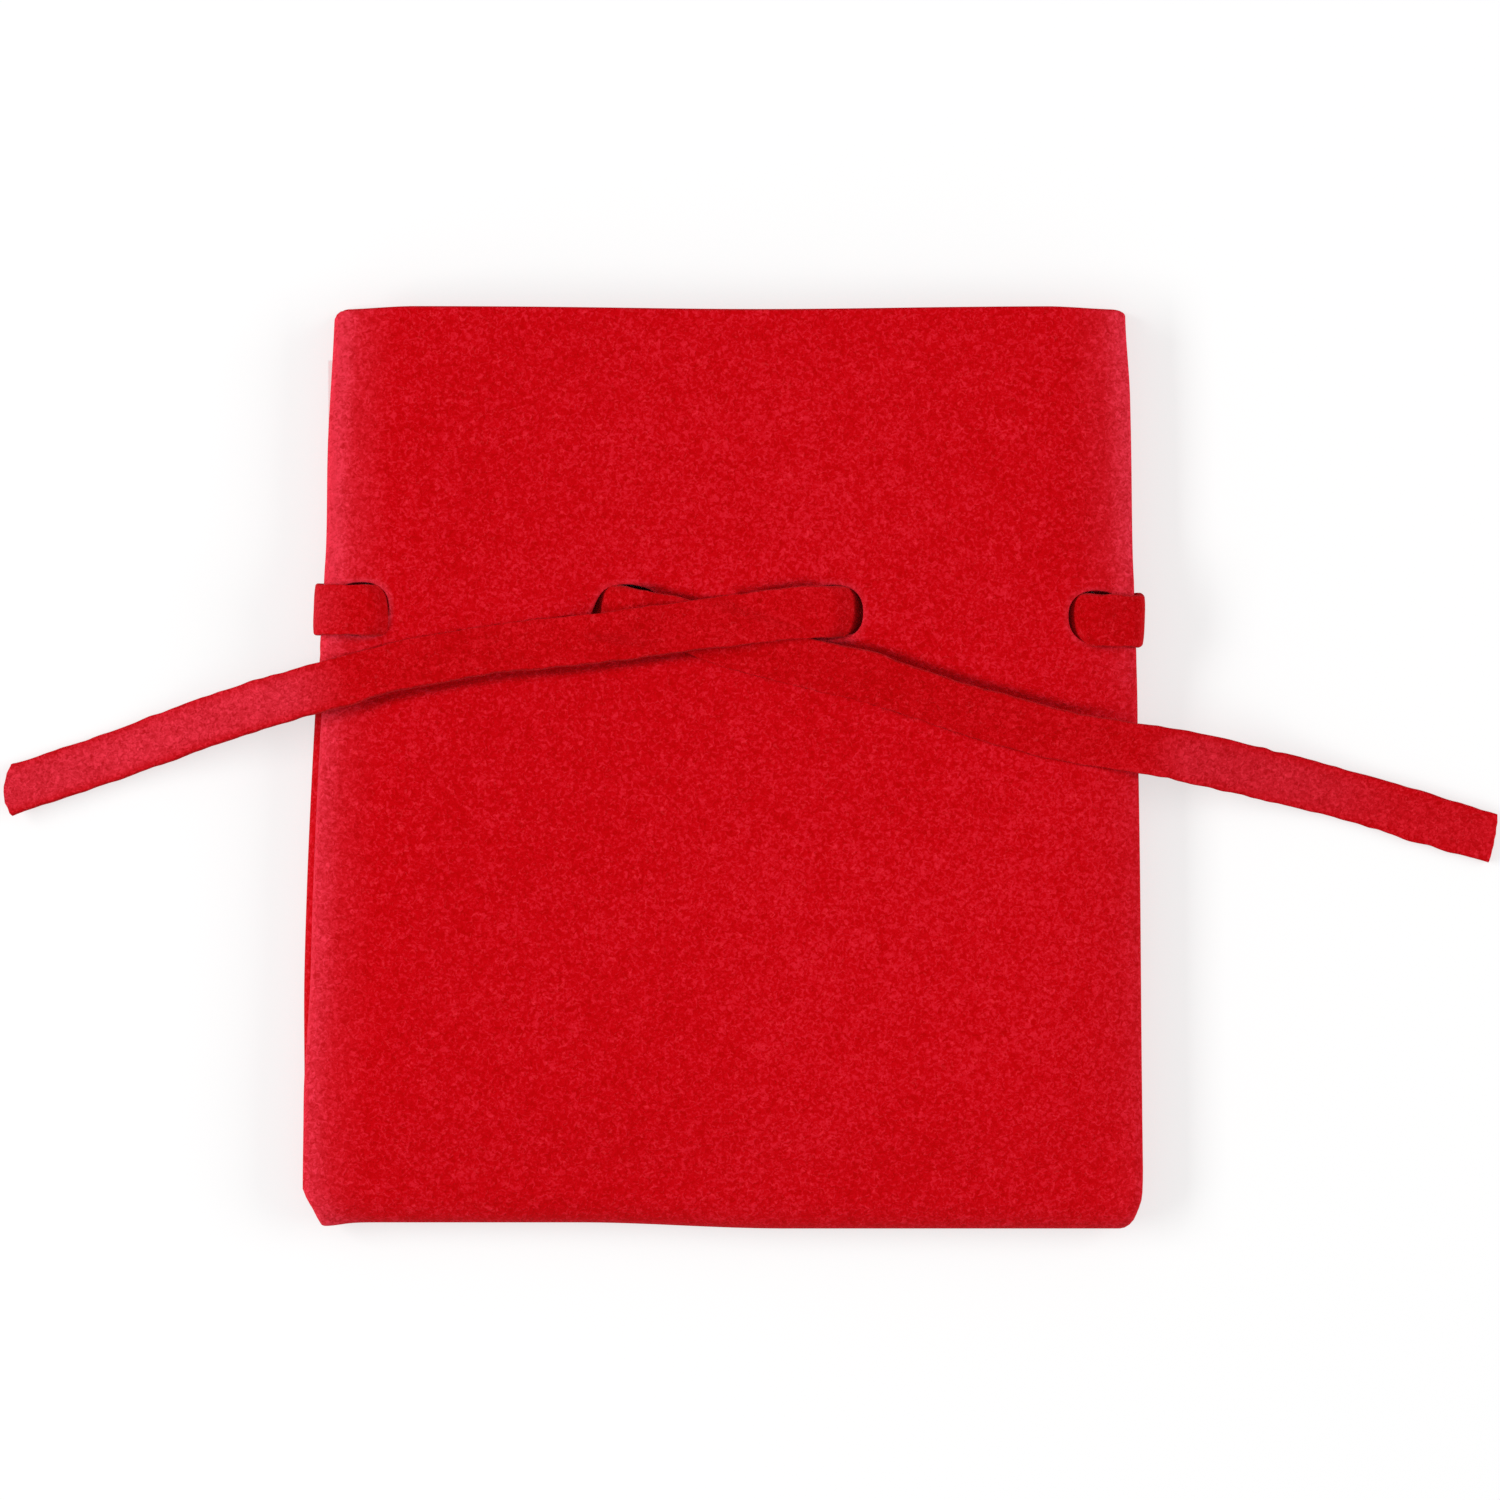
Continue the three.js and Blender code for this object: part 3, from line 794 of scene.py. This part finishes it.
# x, squareness, how far the top is pulled aside and how fluffy and pale the rim is, at the left
# side hole also painted light that its rim catches
holes = [
    (-side_hole_x, SIDE_SQUARENESS, 0, 0.9),
    (-CENTRE_HOLE_X, LEFT_SQUARENESS, LEFT_PULL, 0.4),
    (CENTRE_HOLE_X, RIGHT_SQUARENESS, 0, 0.4),
    (side_hole_x, SIDE_SQUARENESS, 0, 0.4),
]
in_hole = np.zeros(grid_u.shape, bool)
rim_fluff_and_light = np.zeros(grid_u.shape)
sheet_u, sheet_y = grid_u.copy(), grid_y.copy()
for hole_x, squareness, pull, fluff_and_light in holes:
    a, b = grid_u - hole_x, grid_y - HOLE_Y
    square = np.maximum(np.abs(a), np.abs(b))
    far = np.maximum(np.hypot(a, b), TINY)
    wide_share = np.abs(a / far / HOLE_HALF_X) ** squareness
    high_share = np.abs(b / far / HOLE_HALF_Y) ** squareness
    rim = (wide_share + high_share + TINY) ** (-1 / squareness)
    ring = np.minimum(rim, RIM_LIMIT) * square / HOLE_SQUARE
    fade = smoothstep(square, HOLE_SQUARE, HOLE_BLOCK)
    near = square < HOLE_BLOCK - SLACK
    ring_a, ring_b = a / far * ring, b / far * ring
    sheet_u = np.where(near, hole_x + mix(ring_a + pull * ring_b, a, fade), sheet_u)
    sheet_y = np.where(near, HOLE_Y + mix(ring_b, b, fade), sheet_y)
    in_hole |= square < HOLE_SQUARE + SLACK
    # the rims are paler where the nap is fluffy; at the left side hole this also paints the light
    # that its rim catches from the left
    from_rim = smoothstep(square, HOLE_SQUARE, HOLE_SQUARE + FLUFF_WIDTH)
    rim_fluff_and_light = np.maximum(rim_fluff_and_light, fluff_and_light * (1 - from_rim))
print("grid points in holes:", int(in_hole.sum()))

# %% [markdown]
# One formula bends the whole sheet. At the mouth the cloth is a little shorter towards the sides,
# most on the turned edges. That gives the mouth its rounded corners without squeezing the roll.

# %% Bend the sheet into the pouch
STRAIGHT = 5.0
GROOVE_FADE = 0.25
FRONT_SHORT = 0.3
MOUTH_DROOP = 0.35
ALLOWANCE_SHORT = 0.8
SHORT_FROM = 36
WIDEST = 0.98


def bend(u, y, fold):
    side, across = np.sign(u), np.abs(u)
    squeeze = np.abs(fold)
    t = np.clip((across - hole_axis) / ROLL_LENGTH, 0, 1)
    outward = WIDEST * np.where(t < 0.5, np.sin(math.pi * t), 1)
    corner = np.where(side < 0, LEFT_MOUTH_CORNER, RIGHT_MOUTH_CORNER)
    shorter = corner * (1 - np.sqrt(1 - outward**2))
    shorter += MOUTH_DROOP * smoothstep(across, hole_axis - 7, hole_axis + 1)
    shorter += ALLOWANCE_SHORT * smoothstep(t, 0.6, 1) + FRONT_SHORT * (fold > 0)
    y = y - shorter * smoothstep(y, SHORT_FROM, MOUTH)
    axis = half_width(y, squeeze) - EDGE_ROLL + edge_shift(side, y, fold)
    slope = np.where(fold > 0, np.arctan(CROWN_POWER * crown_at(y) / CROWN_SIDE_RISE), 0)
    wall_end = axis + MID_ROLL * np.sin(slope)
    stretch = (wall_end - STRAIGHT) / (hole_axis - STRAIGHT)
    wall_x = np.where(across < STRAIGHT, across, STRAIGHT + (across - STRAIGHT) * stretch)
    crowned = front_up(side * wall_x, y, wall_end) - MID_ROLL * (1 - np.cos(slope))
    wall_up = np.where(fold > 0, crowned, EDGE_HEIGHT - CLOTH / 2)
    rolled = mix(math.pi / 2 - slope, -math.pi / 2, t)
    plain = mix(math.pi / 2 - slope, 0, t)
    seam_open = np.clip(1 - (1 - squeeze) / GROOVE_FADE, 0, 1)
    out = MID_ROLL * mix(np.cos(plain), np.cos(rolled), seam_open)
    plain_up = (EDGE_HEIGHT - CLOTH / 2) * np.sin(plain)
    roll_up = mix(plain_up, ROLL_CENTRE + MID_ROLL * np.sin(rolled), seam_open)
    beyond = np.maximum(across - hole_axis - ROLL_LENGTH, 0)
    on_wall = across <= hole_axis
    x = side * np.where(on_wall, wall_x, axis + out - beyond)
    up = np.where(on_wall, wall_up, roll_up)
    z = seam_height(y) + np.sign(fold) * squeeze * up
    return np.stack([x + lean(y), y + settle(x, y), z], axis=-1)


sheet = bend(sheet_u, sheet_y, grid_fold)
sheet_low, sheet_high = sheet.reshape(-1, 3).min(0), sheet.reshape(-1, 3).max(0)
print("sheet spans in mm:", np.round(sheet_low, 2), np.round(sheet_high, 2))

# %% [markdown]
# The grid becomes a mesh, without the faces in the holes and without the allowances in the
# bottom fold, where they were clipped. Each point also gets its paler share. The turned sides
# are paler most above the holes, and more on the left than on the right: part wear, part
# painted light from the left. A painted highlight runs along the top of the left edge.

# %% Make the sheet's mesh
WIDE_WEAR_AND_LIGHT = 0.3
EDGE_WEAR_AND_LIGHT = 0.7
LEFT_WEAR_AND_LIGHT = (0.72, 1.15)
RIGHT_WEAR_AND_LIGHT = (0.15, 0.78)
CREST_HIGHLIGHT = 0.6
BACK_WEAR_AND_LIGHT = 0.1
MERGE_WITHIN = 0.004
rows, columns = grid_u.shape
number = np.arange(rows * columns).reshape(rows, columns)
allowance = np.abs(grid_u) > hole_axis + ROLL_LENGTH - SLACK
folded = np.abs(grid_fold) < 1 - SLACK


def corners(table):
    return table[:-1, :-1], table[1:, :-1], table[1:, 1:], table[:-1, 1:]


hole_face = np.all(corners(in_hole), axis=0)
clipped_face = np.all(corners(allowance), axis=0) & np.any(corners(folded), axis=0)
kept = ~(hole_face | clipped_face)
sheet_faces = np.stack(corners(number), axis=-1)[kept]

past_axis = np.abs(grid_u) - hole_axis
# painted light and wear: the turned sides are paler, most on the left where the light falls and
# above the holes
near_edge = WIDE_WEAR_AND_LIGHT * smoothstep(past_axis, -6, 0) + EDGE_WEAR_AND_LIGHT * smoothstep(past_axis, -2.2, 0.6)
above_holes = smoothstep(grid_y, 5, 25)
wear_and_light_here = np.where(grid_u < 0, mix(*LEFT_WEAR_AND_LIGHT, above_holes), mix(*RIGHT_WEAR_AND_LIGHT, above_holes))
# painted highlight: a pale line along the top of the left edge, where the back peeks out
crest_highlight = left_peek(grid_y) * (grid_u < 0) * smoothstep(past_axis, 0.2, 0.7)
side_wear_and_light = near_edge * wear_and_light_here
side_wear_and_light = np.where(grid_fold < 0, BACK_WEAR_AND_LIGHT * side_wear_and_light, side_wear_and_light + CREST_HIGHLIGHT * crest_highlight)

body_mesh = bpy.data.meshes.new("pouch_cloth_body")
body_mesh.from_pydata((sheet.reshape(-1, 3) * MM).tolist(), [], sheet_faces.tolist())
body = bpy.data.objects.new("pouch_cloth_body", body_mesh)
bpy.context.collection.objects.link(body)
give_wear_and_light(body_mesh, np.maximum(side_wear_and_light, rim_fluff_and_light).ravel())
only(body)
bpy.ops.object.mode_set(mode="EDIT")
bpy.ops.mesh.select_all(action="SELECT")
bpy.ops.mesh.delete_loose()
bpy.ops.mesh.select_all(action="SELECT")
bpy.ops.mesh.remove_doubles(threshold=MERGE_WITHIN * MM)
bpy.ops.object.mode_set(mode="OBJECT")
print("sheet faces:", len(body_mesh.polygons))

# %% [markdown]
# Solidify thickens the sheet to both sides of its middle. Its rim faces are the cut edges: the
# mouth, the holes and the allowances. They get the second material. A narrow bevel then softens
# the cut edges, as a blade leaves them on felted cloth.

# %% Give the sheet its thickness
EDGE_SOFTNESS = 0.12
SHARP_FROM = math.radians(60)
LEFT_SHARP_BELOW = ROLL_START + 2
bpy.ops.object.modifier_add(type="SOLIDIFY")
thickness = body.modifiers[-1]
thickness.thickness = CLOTH * MM
thickness.offset = 0
thickness.material_offset_rim = 1
bpy.ops.object.modifier_apply(modifier=thickness.name)
bpy.ops.object.mode_set(mode="EDIT")
bpy.ops.mesh.select_mode(type="EDGE")
bpy.ops.mesh.select_all(action="DESELECT")
bpy.ops.mesh.edges_select_sharp(sharpness=SHARP_FROM)
bpy.ops.object.mode_set(mode="OBJECT")
points = np.empty(len(body.data.vertices) * 3)
body.data.vertices.foreach_get("co", points)
low_point = points.reshape(-1, 3)[:, 1] < LEFT_SHARP_BELOW * MM
for edge in body.data.edges:
    edge.select = edge.select and not any(low_point[v] for v in edge.vertices)
bpy.ops.object.mode_set(mode="EDIT")
bpy.ops.mesh.bevel(offset=EDGE_SOFTNESS * MM, segments=2, affect="EDGES")
bpy.ops.object.mode_set(mode="OBJECT")
bpy.ops.object.shade_smooth_by_angle(angle=SMOOTH_UP_TO)
print("pouch triangles:", sum(len(p.vertices) - 2 for p in body.data.polygons))

# %% [markdown]
# ## The thread of the side seams
# Both sides are sewn from the wrong side, so the stitches lie inside on the allowances. They can
# be seen through the mouth. A lockstitch looks like a row of small grains. One grain is a sphere
# drawn long in edit mode. Its copies are set along both seams, on both allowances.

# %% Model one stitch and copy it along the seams
THREAD = 0.28
STITCH_PITCH = 2.5
STITCH_LENGTH = 2.2
STITCH_INSET = 0.7
SEAM_END = 2
bpy.ops.object.select_all(action="DESELECT")
bpy.ops.mesh.primitive_uv_sphere_add(
    segments=8, ring_count=6, radius=THREAD / 2 * MM, location=(0, 0, 0)
)
grain_of_thread = bpy.context.object
bpy.ops.object.mode_set(mode="EDIT")
bpy.ops.mesh.select_all(action="SELECT")
bpy.ops.transform.resize(value=(1, STITCH_LENGTH / THREAD, 1))
bpy.ops.object.mode_set(mode="OBJECT")
grain_points = np.array([v.co for v in grain_of_thread.data.vertices])
grain_faces = [tuple(p.vertices) for p in grain_of_thread.data.polygons]
bpy.data.objects.remove(grain_of_thread)

stitch_points, stitch_faces = [], []
on_allowance = SEAM_SLIT / 2 + CLOTH + THREAD / 4
for side in (-1, 1):
    for fold in (-1, 1):
        for y in np.arange(ROLL_START + SEAM_END, MOUTH - SEAM_END, STITCH_PITCH):
            axis = float(half_width(y) - EDGE_ROLL + edge_shift(side, y, fold))
            x = side * (axis - STITCH_INSET)
            place = (x + lean(y), y + settle(x, y), seam_height(y) + fold * on_allowance)
            first = len(stitch_points) * len(grain_points)
            stitch_points.append(grain_points + np.array(place) * MM)
            stitch_faces += [tuple(first + v for v in face) for face in grain_faces]
stitch_mesh = bpy.data.meshes.new("side_stitching")
stitch_mesh.from_pydata(np.vstack(stitch_points).tolist(), [], stitch_faces)
stitching = bpy.data.objects.new("side_stitching", stitch_mesh)
bpy.context.collection.objects.link(stitching)
only(stitching)
bpy.ops.object.shade_smooth()
print("stitches:", len(stitch_points), "faces:", len(stitch_faces))

# %% [markdown]
# ## Microsuede
# Microsuede is dyed through and has a very short nap. Close up it looks like fine, tangled
# worms of lighter and darker red, with single pale fibre tips. It has no gloss. The grain is
# noise on object coordinates, so it has its real scale. The sides, the ends of the strip and the
# rims of the holes are paler. At the rims and sides that is partly wear and fluffy nap, and the
# rest is painted light: the pale left side and the strip's ends stand in for light from the left
# and from the white floor. The material reads this share from each mesh. A little sheen pales
# nap seen from the side.

# %% Helpers for materials
def srgb(red, green, blue):
    def linear(value):
        value /= 255
        return value / 12.92 if value <= 0.04045 else ((value + 0.055) / 1.055) ** 2.4

    return (linear(red), linear(green), linear(blue), 1)


def add_node(tree, kind, inputs=(), **settings):
    made = tree.nodes.new(kind)
    for name, value in settings.items():
        setattr(made, name, value)
    for name, value in dict(inputs).items():
        if isinstance(value, bpy.types.NodeSocket):
            tree.links.new(value, made.inputs[name])
        else:
            made.inputs[name].default_value = value
    return made


def noise(tree, place, scale, detail, distortion=0.0):
    inputs = {"Vector": place, "Scale": scale, "Detail": detail, "Distortion": distortion}
    return add_node(tree, "ShaderNodeTexNoise", inputs).outputs[0]


def ranged(tree, value, low, high, to_low=0.0, to_high=1.0):
    inputs = {0: value, 1: low, 2: high, 3: to_low, 4: to_high}
    return add_node(tree, "ShaderNodeMapRange", inputs).outputs[0]


def blend(tree, share, first, second, how="MIX"):
    inputs = {0: share, 6: first, 7: second}
    return add_node(tree, "ShaderNodeMix", inputs, data_type="RGBA", blend_type=how).outputs[2]


def maths(tree, operation, first, second):
    return add_node(tree, "ShaderNodeMath", {0: first, 1: second}, operation=operation).outputs[0]


print("a pale red as light:", [round(v, 3) for v in srgb(216, 24, 40)])

# %% The microsuede recipe
GRAIN_SCALE = 2500.0
PATCH_SCALE = 520.0
NAP_SCALE = 42.0
FLECK_SCALE = 2200.0
FIBRE_TIPS = (0.1, 0.009, 0.014, 1)
PALER_BY_WEAR_AND_LIGHT = (0.16, 0.026, 0.046, 1)
PATCH_SHARE = 0.2
NAP_SHARE = 0.15
# values of the mixed noise that are deepest, middling, palest and most paled by wear and painted
# light
DEEPEST, MIDDLING, PALEST, MOST_PALED = 0.455, 0.685, 0.875, 0.915
PALING_VARIES = (0.4, 1.7)
TIPS_SHOW = (0.64, 0.8)
PATCH_RELIEF = 0.6
RELIEF_DEPTH = 0.25


def microsuede(name, reds, bump, fineness=1.0):
    deep, ground, pale = [srgb(*red) for red in reds]
    material = bpy.data.materials.new(name)
    material.use_nodes = True
    tree = material.node_tree
    tree.nodes.clear()
    place = add_node(tree, "ShaderNodeTexCoord").outputs["Object"]
    grain = noise(tree, place, GRAIN_SCALE * fineness, 1.5, 1.0)
    patch = noise(tree, place, PATCH_SCALE, 2.0, 0.4)
    nap = noise(tree, place, NAP_SCALE, 1.0)
    tips = noise(tree, place, FLECK_SCALE, 0.0, 1.5)
    mottled = maths(tree, "ADD", grain, maths(tree, "MULTIPLY", patch, PATCH_SHARE))
    mottled = maths(tree, "ADD", mottled, maths(tree, "MULTIPLY", nap, NAP_SHARE))
    dark_side = blend(tree, ranged(tree, mottled, DEEPEST, MIDDLING), deep, ground)
    cloth = blend(tree, ranged(tree, mottled, MIDDLING, PALEST), dark_side, pale)
    flecked = blend(tree, ranged(tree, tips, *TIPS_SHOW), cloth, FIBRE_TIPS, "ADD")
    # the paler share that the meshes carry: part wear, part painted light
    wear_and_light = add_node(tree, "ShaderNodeAttribute", attribute_name="wear_and_light").outputs["Fac"]
    varied = ranged(tree, mottled, DEEPEST, MOST_PALED, *PALING_VARIES)
    worn_and_lit = blend(tree, maths(tree, "MULTIPLY", wear_and_light, varied), flecked, PALER_BY_WEAR_AND_LIGHT, "ADD")
    height = maths(tree, "ADD", grain, maths(tree, "MULTIPLY", patch, PATCH_RELIEF))
    bumps = {"Strength": bump, "Distance": RELIEF_DEPTH * MM, "Height": height}
    relief = add_node(tree, "ShaderNodeBump", bumps).outputs[0]
    surface = add_node(tree, "ShaderNodeBsdfPrincipled", {"Base Color": worn_and_lit, "Normal": relief})
    surface.inputs["Roughness"].default_value = 0.95
    surface.inputs["Specular IOR Level"].default_value = 0.02
    surface.inputs["Sheen Weight"].default_value = 0.08
    surface.inputs["Sheen Roughness"].default_value = 0.5
    surface.inputs["Sheen Tint"].default_value = srgb(255, 160, 172)
    output = add_node(tree, "ShaderNodeOutputMaterial", {"Surface": surface.outputs[0]})
    output.is_active_output = True
    return material


# %% [markdown]
# Each cloth has three reds: the deep, the common and the pale one. The strip's reds are a
# little darker than the pouch's. Cut edges show the felted core, so their grain is finer and
# rougher.

# %% Dye the cloth
POUCH_REDS = ((185, 0, 3), (200, 2, 12), (216, 24, 40))
POUCH_EDGE_REDS = ((168, 0, 3), (194, 2, 12), (214, 20, 34))
STRIP_REDS = ((175, 0, 1), (192, 1, 8), (209, 18, 30))
STRIP_EDGE_REDS = ((166, 0, 1), (188, 1, 8), (206, 14, 26))
pouch_cloth = microsuede("pouch_microsuede", POUCH_REDS, 0.5)
strip_cloth = microsuede("strip_microsuede", STRIP_REDS, 0.45, 1.15)
cut_edge = microsuede("cut_edge_microsuede", POUCH_EDGE_REDS, 0.7, 1.5)
strip_side = microsuede("strip_side_microsuede", STRIP_EDGE_REDS, 0.7, 1.5)
for piece, cloth, edge in ((body, pouch_cloth, cut_edge), (strip, strip_cloth, strip_side)):
    piece.data.materials.append(cloth)
    piece.data.materials.append(edge)
strip.data.polygons.foreach_set("material_index", [int(cut) for cut in strip_cut])
print("materials:", [m.name for m in (pouch_cloth, strip_cloth, strip_side, cut_edge)])

# %% [markdown]
# The thread is spun polyester in the colour of the cloth. Its slanting turns are a wave texture:
# fine darker stripes of painted shade in the grooves between the turns. It has a little more
# gloss than the cloth.

# %% The thread's material
TURNS_SCALE = 900.0
spun = bpy.data.materials.new("spun_thread")
spun.use_nodes = True
tree = spun.node_tree
tree.nodes.clear()
place = add_node(tree, "ShaderNodeTexCoord").outputs["Object"]
turns = {"Vector": place, "Scale": TURNS_SCALE}
# painted shade: darker stripes in the grooves between the thread's turns
groove_shade_bands = add_node(tree, "ShaderNodeTexWave", turns, bands_direction="DIAGONAL")
colour = blend(tree, groove_shade_bands.outputs[1], srgb(140, 0, 8), srgb(196, 10, 24))
surface = add_node(tree, "ShaderNodeBsdfPrincipled", {"Base Color": colour, "Roughness": 0.6})
surface.inputs["Specular IOR Level"].default_value = 0.2
add_node(tree, "ShaderNodeOutputMaterial", {"Surface": surface.outputs[0]})
stitching.data.materials.append(spun)
print("thread:", spun.name)

# %% [markdown]
# ## Floor and light
# The floor is pale and plain, and it keeps the soft shadow. A long soft light stands at the left
# and a weaker one at the right, as the paler left side shows. The rest comes from the world all
# round. Together they light a level surface with a strength of about 1, so that colours come out
# as written. To the camera the floor and the world are white.

# %% Lay the floor
FLOOR_SIZE = 6.0
FLOOR_DROP = 0.05 * MM
SHADOW_FADE = 0.6
UNDER_POUCH = (39.2 * MM, 40 * MM)


def seen_directly(tree):
    """1 for what the camera sees, also in a gloss or through glass, and 0 for what lights."""
    rays = add_node(tree, "ShaderNodeLightPath").outputs
    seen = maths(tree, "MAXIMUM", rays["Is Camera Ray"], rays["Is Glossy Ray"])
    return maths(tree, "MAXIMUM", seen, rays["Is Transmission Ray"])


def further_out(tree, place, limit):
    return maths(tree, "GREATER_THAN", maths(tree, "ABSOLUTE", place, 0.0), limit)


bpy.ops.object.select_all(action="DESELECT")
bpy.ops.mesh.primitive_plane_add(size=FLOOR_SIZE, location=(0, 0, -FLOOR_DROP))
floor = bpy.context.object
floor.name = "floor"
paper = bpy.data.materials.new("pale_floor")
paper.use_nodes = True
tree = paper.node_tree
tree.nodes.clear()
seen = seen_directly(tree)
white = blend(tree, seen, (0.8, 0.8, 0.8, 1), (1, 1, 1, 1))
matt = add_node(tree, "ShaderNodeBsdfDiffuse", {"Color": white})
glow = add_node(tree, "ShaderNodeEmission", {"Color": (1, 1, 1, 1)})
place = add_node(tree, "ShaderNodeTexCoord").outputs["Object"]
place = add_node(tree, "ShaderNodeSeparateXYZ", {0: place}).outputs
past_side = further_out(tree, place[0], UNDER_POUCH[0])
past_end = further_out(tree, place[1], UNDER_POUCH[1])
in_open = maths(tree, "MAXIMUM", past_side, past_end)
paler = maths(tree, "MULTIPLY", maths(tree, "MULTIPLY", seen, in_open), SHADOW_FADE)
lit = add_node(tree, "ShaderNodeMixShader", {0: paler, 1: matt.outputs[0], 2: glow.outputs[0]})
add_node(tree, "ShaderNodeOutputMaterial", {"Surface": lit.outputs[0]})
floor.data.materials.append(paper)
floor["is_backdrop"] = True
print("floor in m:", FLOOR_SIZE)

# %% Light the pouch
WORLD_LEVEL = 0.43
KEY_LEVEL = 0.42
FILL_LEVEL = 0.25
world = bpy.data.worlds.new("soft_white")
bpy.context.scene.world = world
world.use_nodes = True
tree = world.node_tree
tree.nodes.clear()
seen = seen_directly(tree)
level = ranged(tree, seen, 0, 1, WORLD_LEVEL, 1)
sky = add_node(tree, "ShaderNodeBackground", {"Color": (1, 1, 1, 1), "Strength": level})
add_node(tree, "ShaderNodeOutputWorld", {"Surface": sky.outputs[0]})


def soft_light(name, place, size, level):
    """An area light that lights a level white surface at the origin with the given strength."""
    place = Vector(place)
    bpy.ops.object.light_add(type="AREA", location=place)
    lamp = bpy.context.object
    lamp.name = name
    lamp.rotation_euler = (-place).to_track_quat("-Z", "Y").to_euler()
    lamp.data.shape = "RECTANGLE"
    lamp.data.size, lamp.data.size_y = size
    lamp.data.energy = level * math.pi**2 * place.length_squared * place.length / place.z
    print(name, "in watts:", round(lamp.data.energy, 2))


soft_light("key_light", (-0.85, 0.02, 0.62), (0.9, 0.3), KEY_LEVEL)
soft_light("fill_light", (0.85, 0.1, 0.5), (0.8, 0.5), FILL_LEVEL)
bpy.context.scene.view_settings.view_transform = "Standard"

# %% [markdown]
# ## Tell the frame what the pieces are
# Each piece rides on the part's one body and stands for its solid, which is hidden.

declared = ((body, "pouch_body", "pouch_cloth"), (strip, "drawstring", "strip_cloth"))
for piece, solid, slot in declared:
    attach(piece, "root")
    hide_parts(solid)
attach(stitching, "root")
print("pieces:", body.name, strip.name, stitching.name)

# %% Print both boxes and finish
look_low, look_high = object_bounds()
boxes = {"cad": [list(cad_low), list(cad_high)], "visual": [list(look_low), list(look_high)]}
for name, box in boxes.items():
    print(name, "box in mm:", [[round(v / MM, 2) for v in corner] for corner in box])
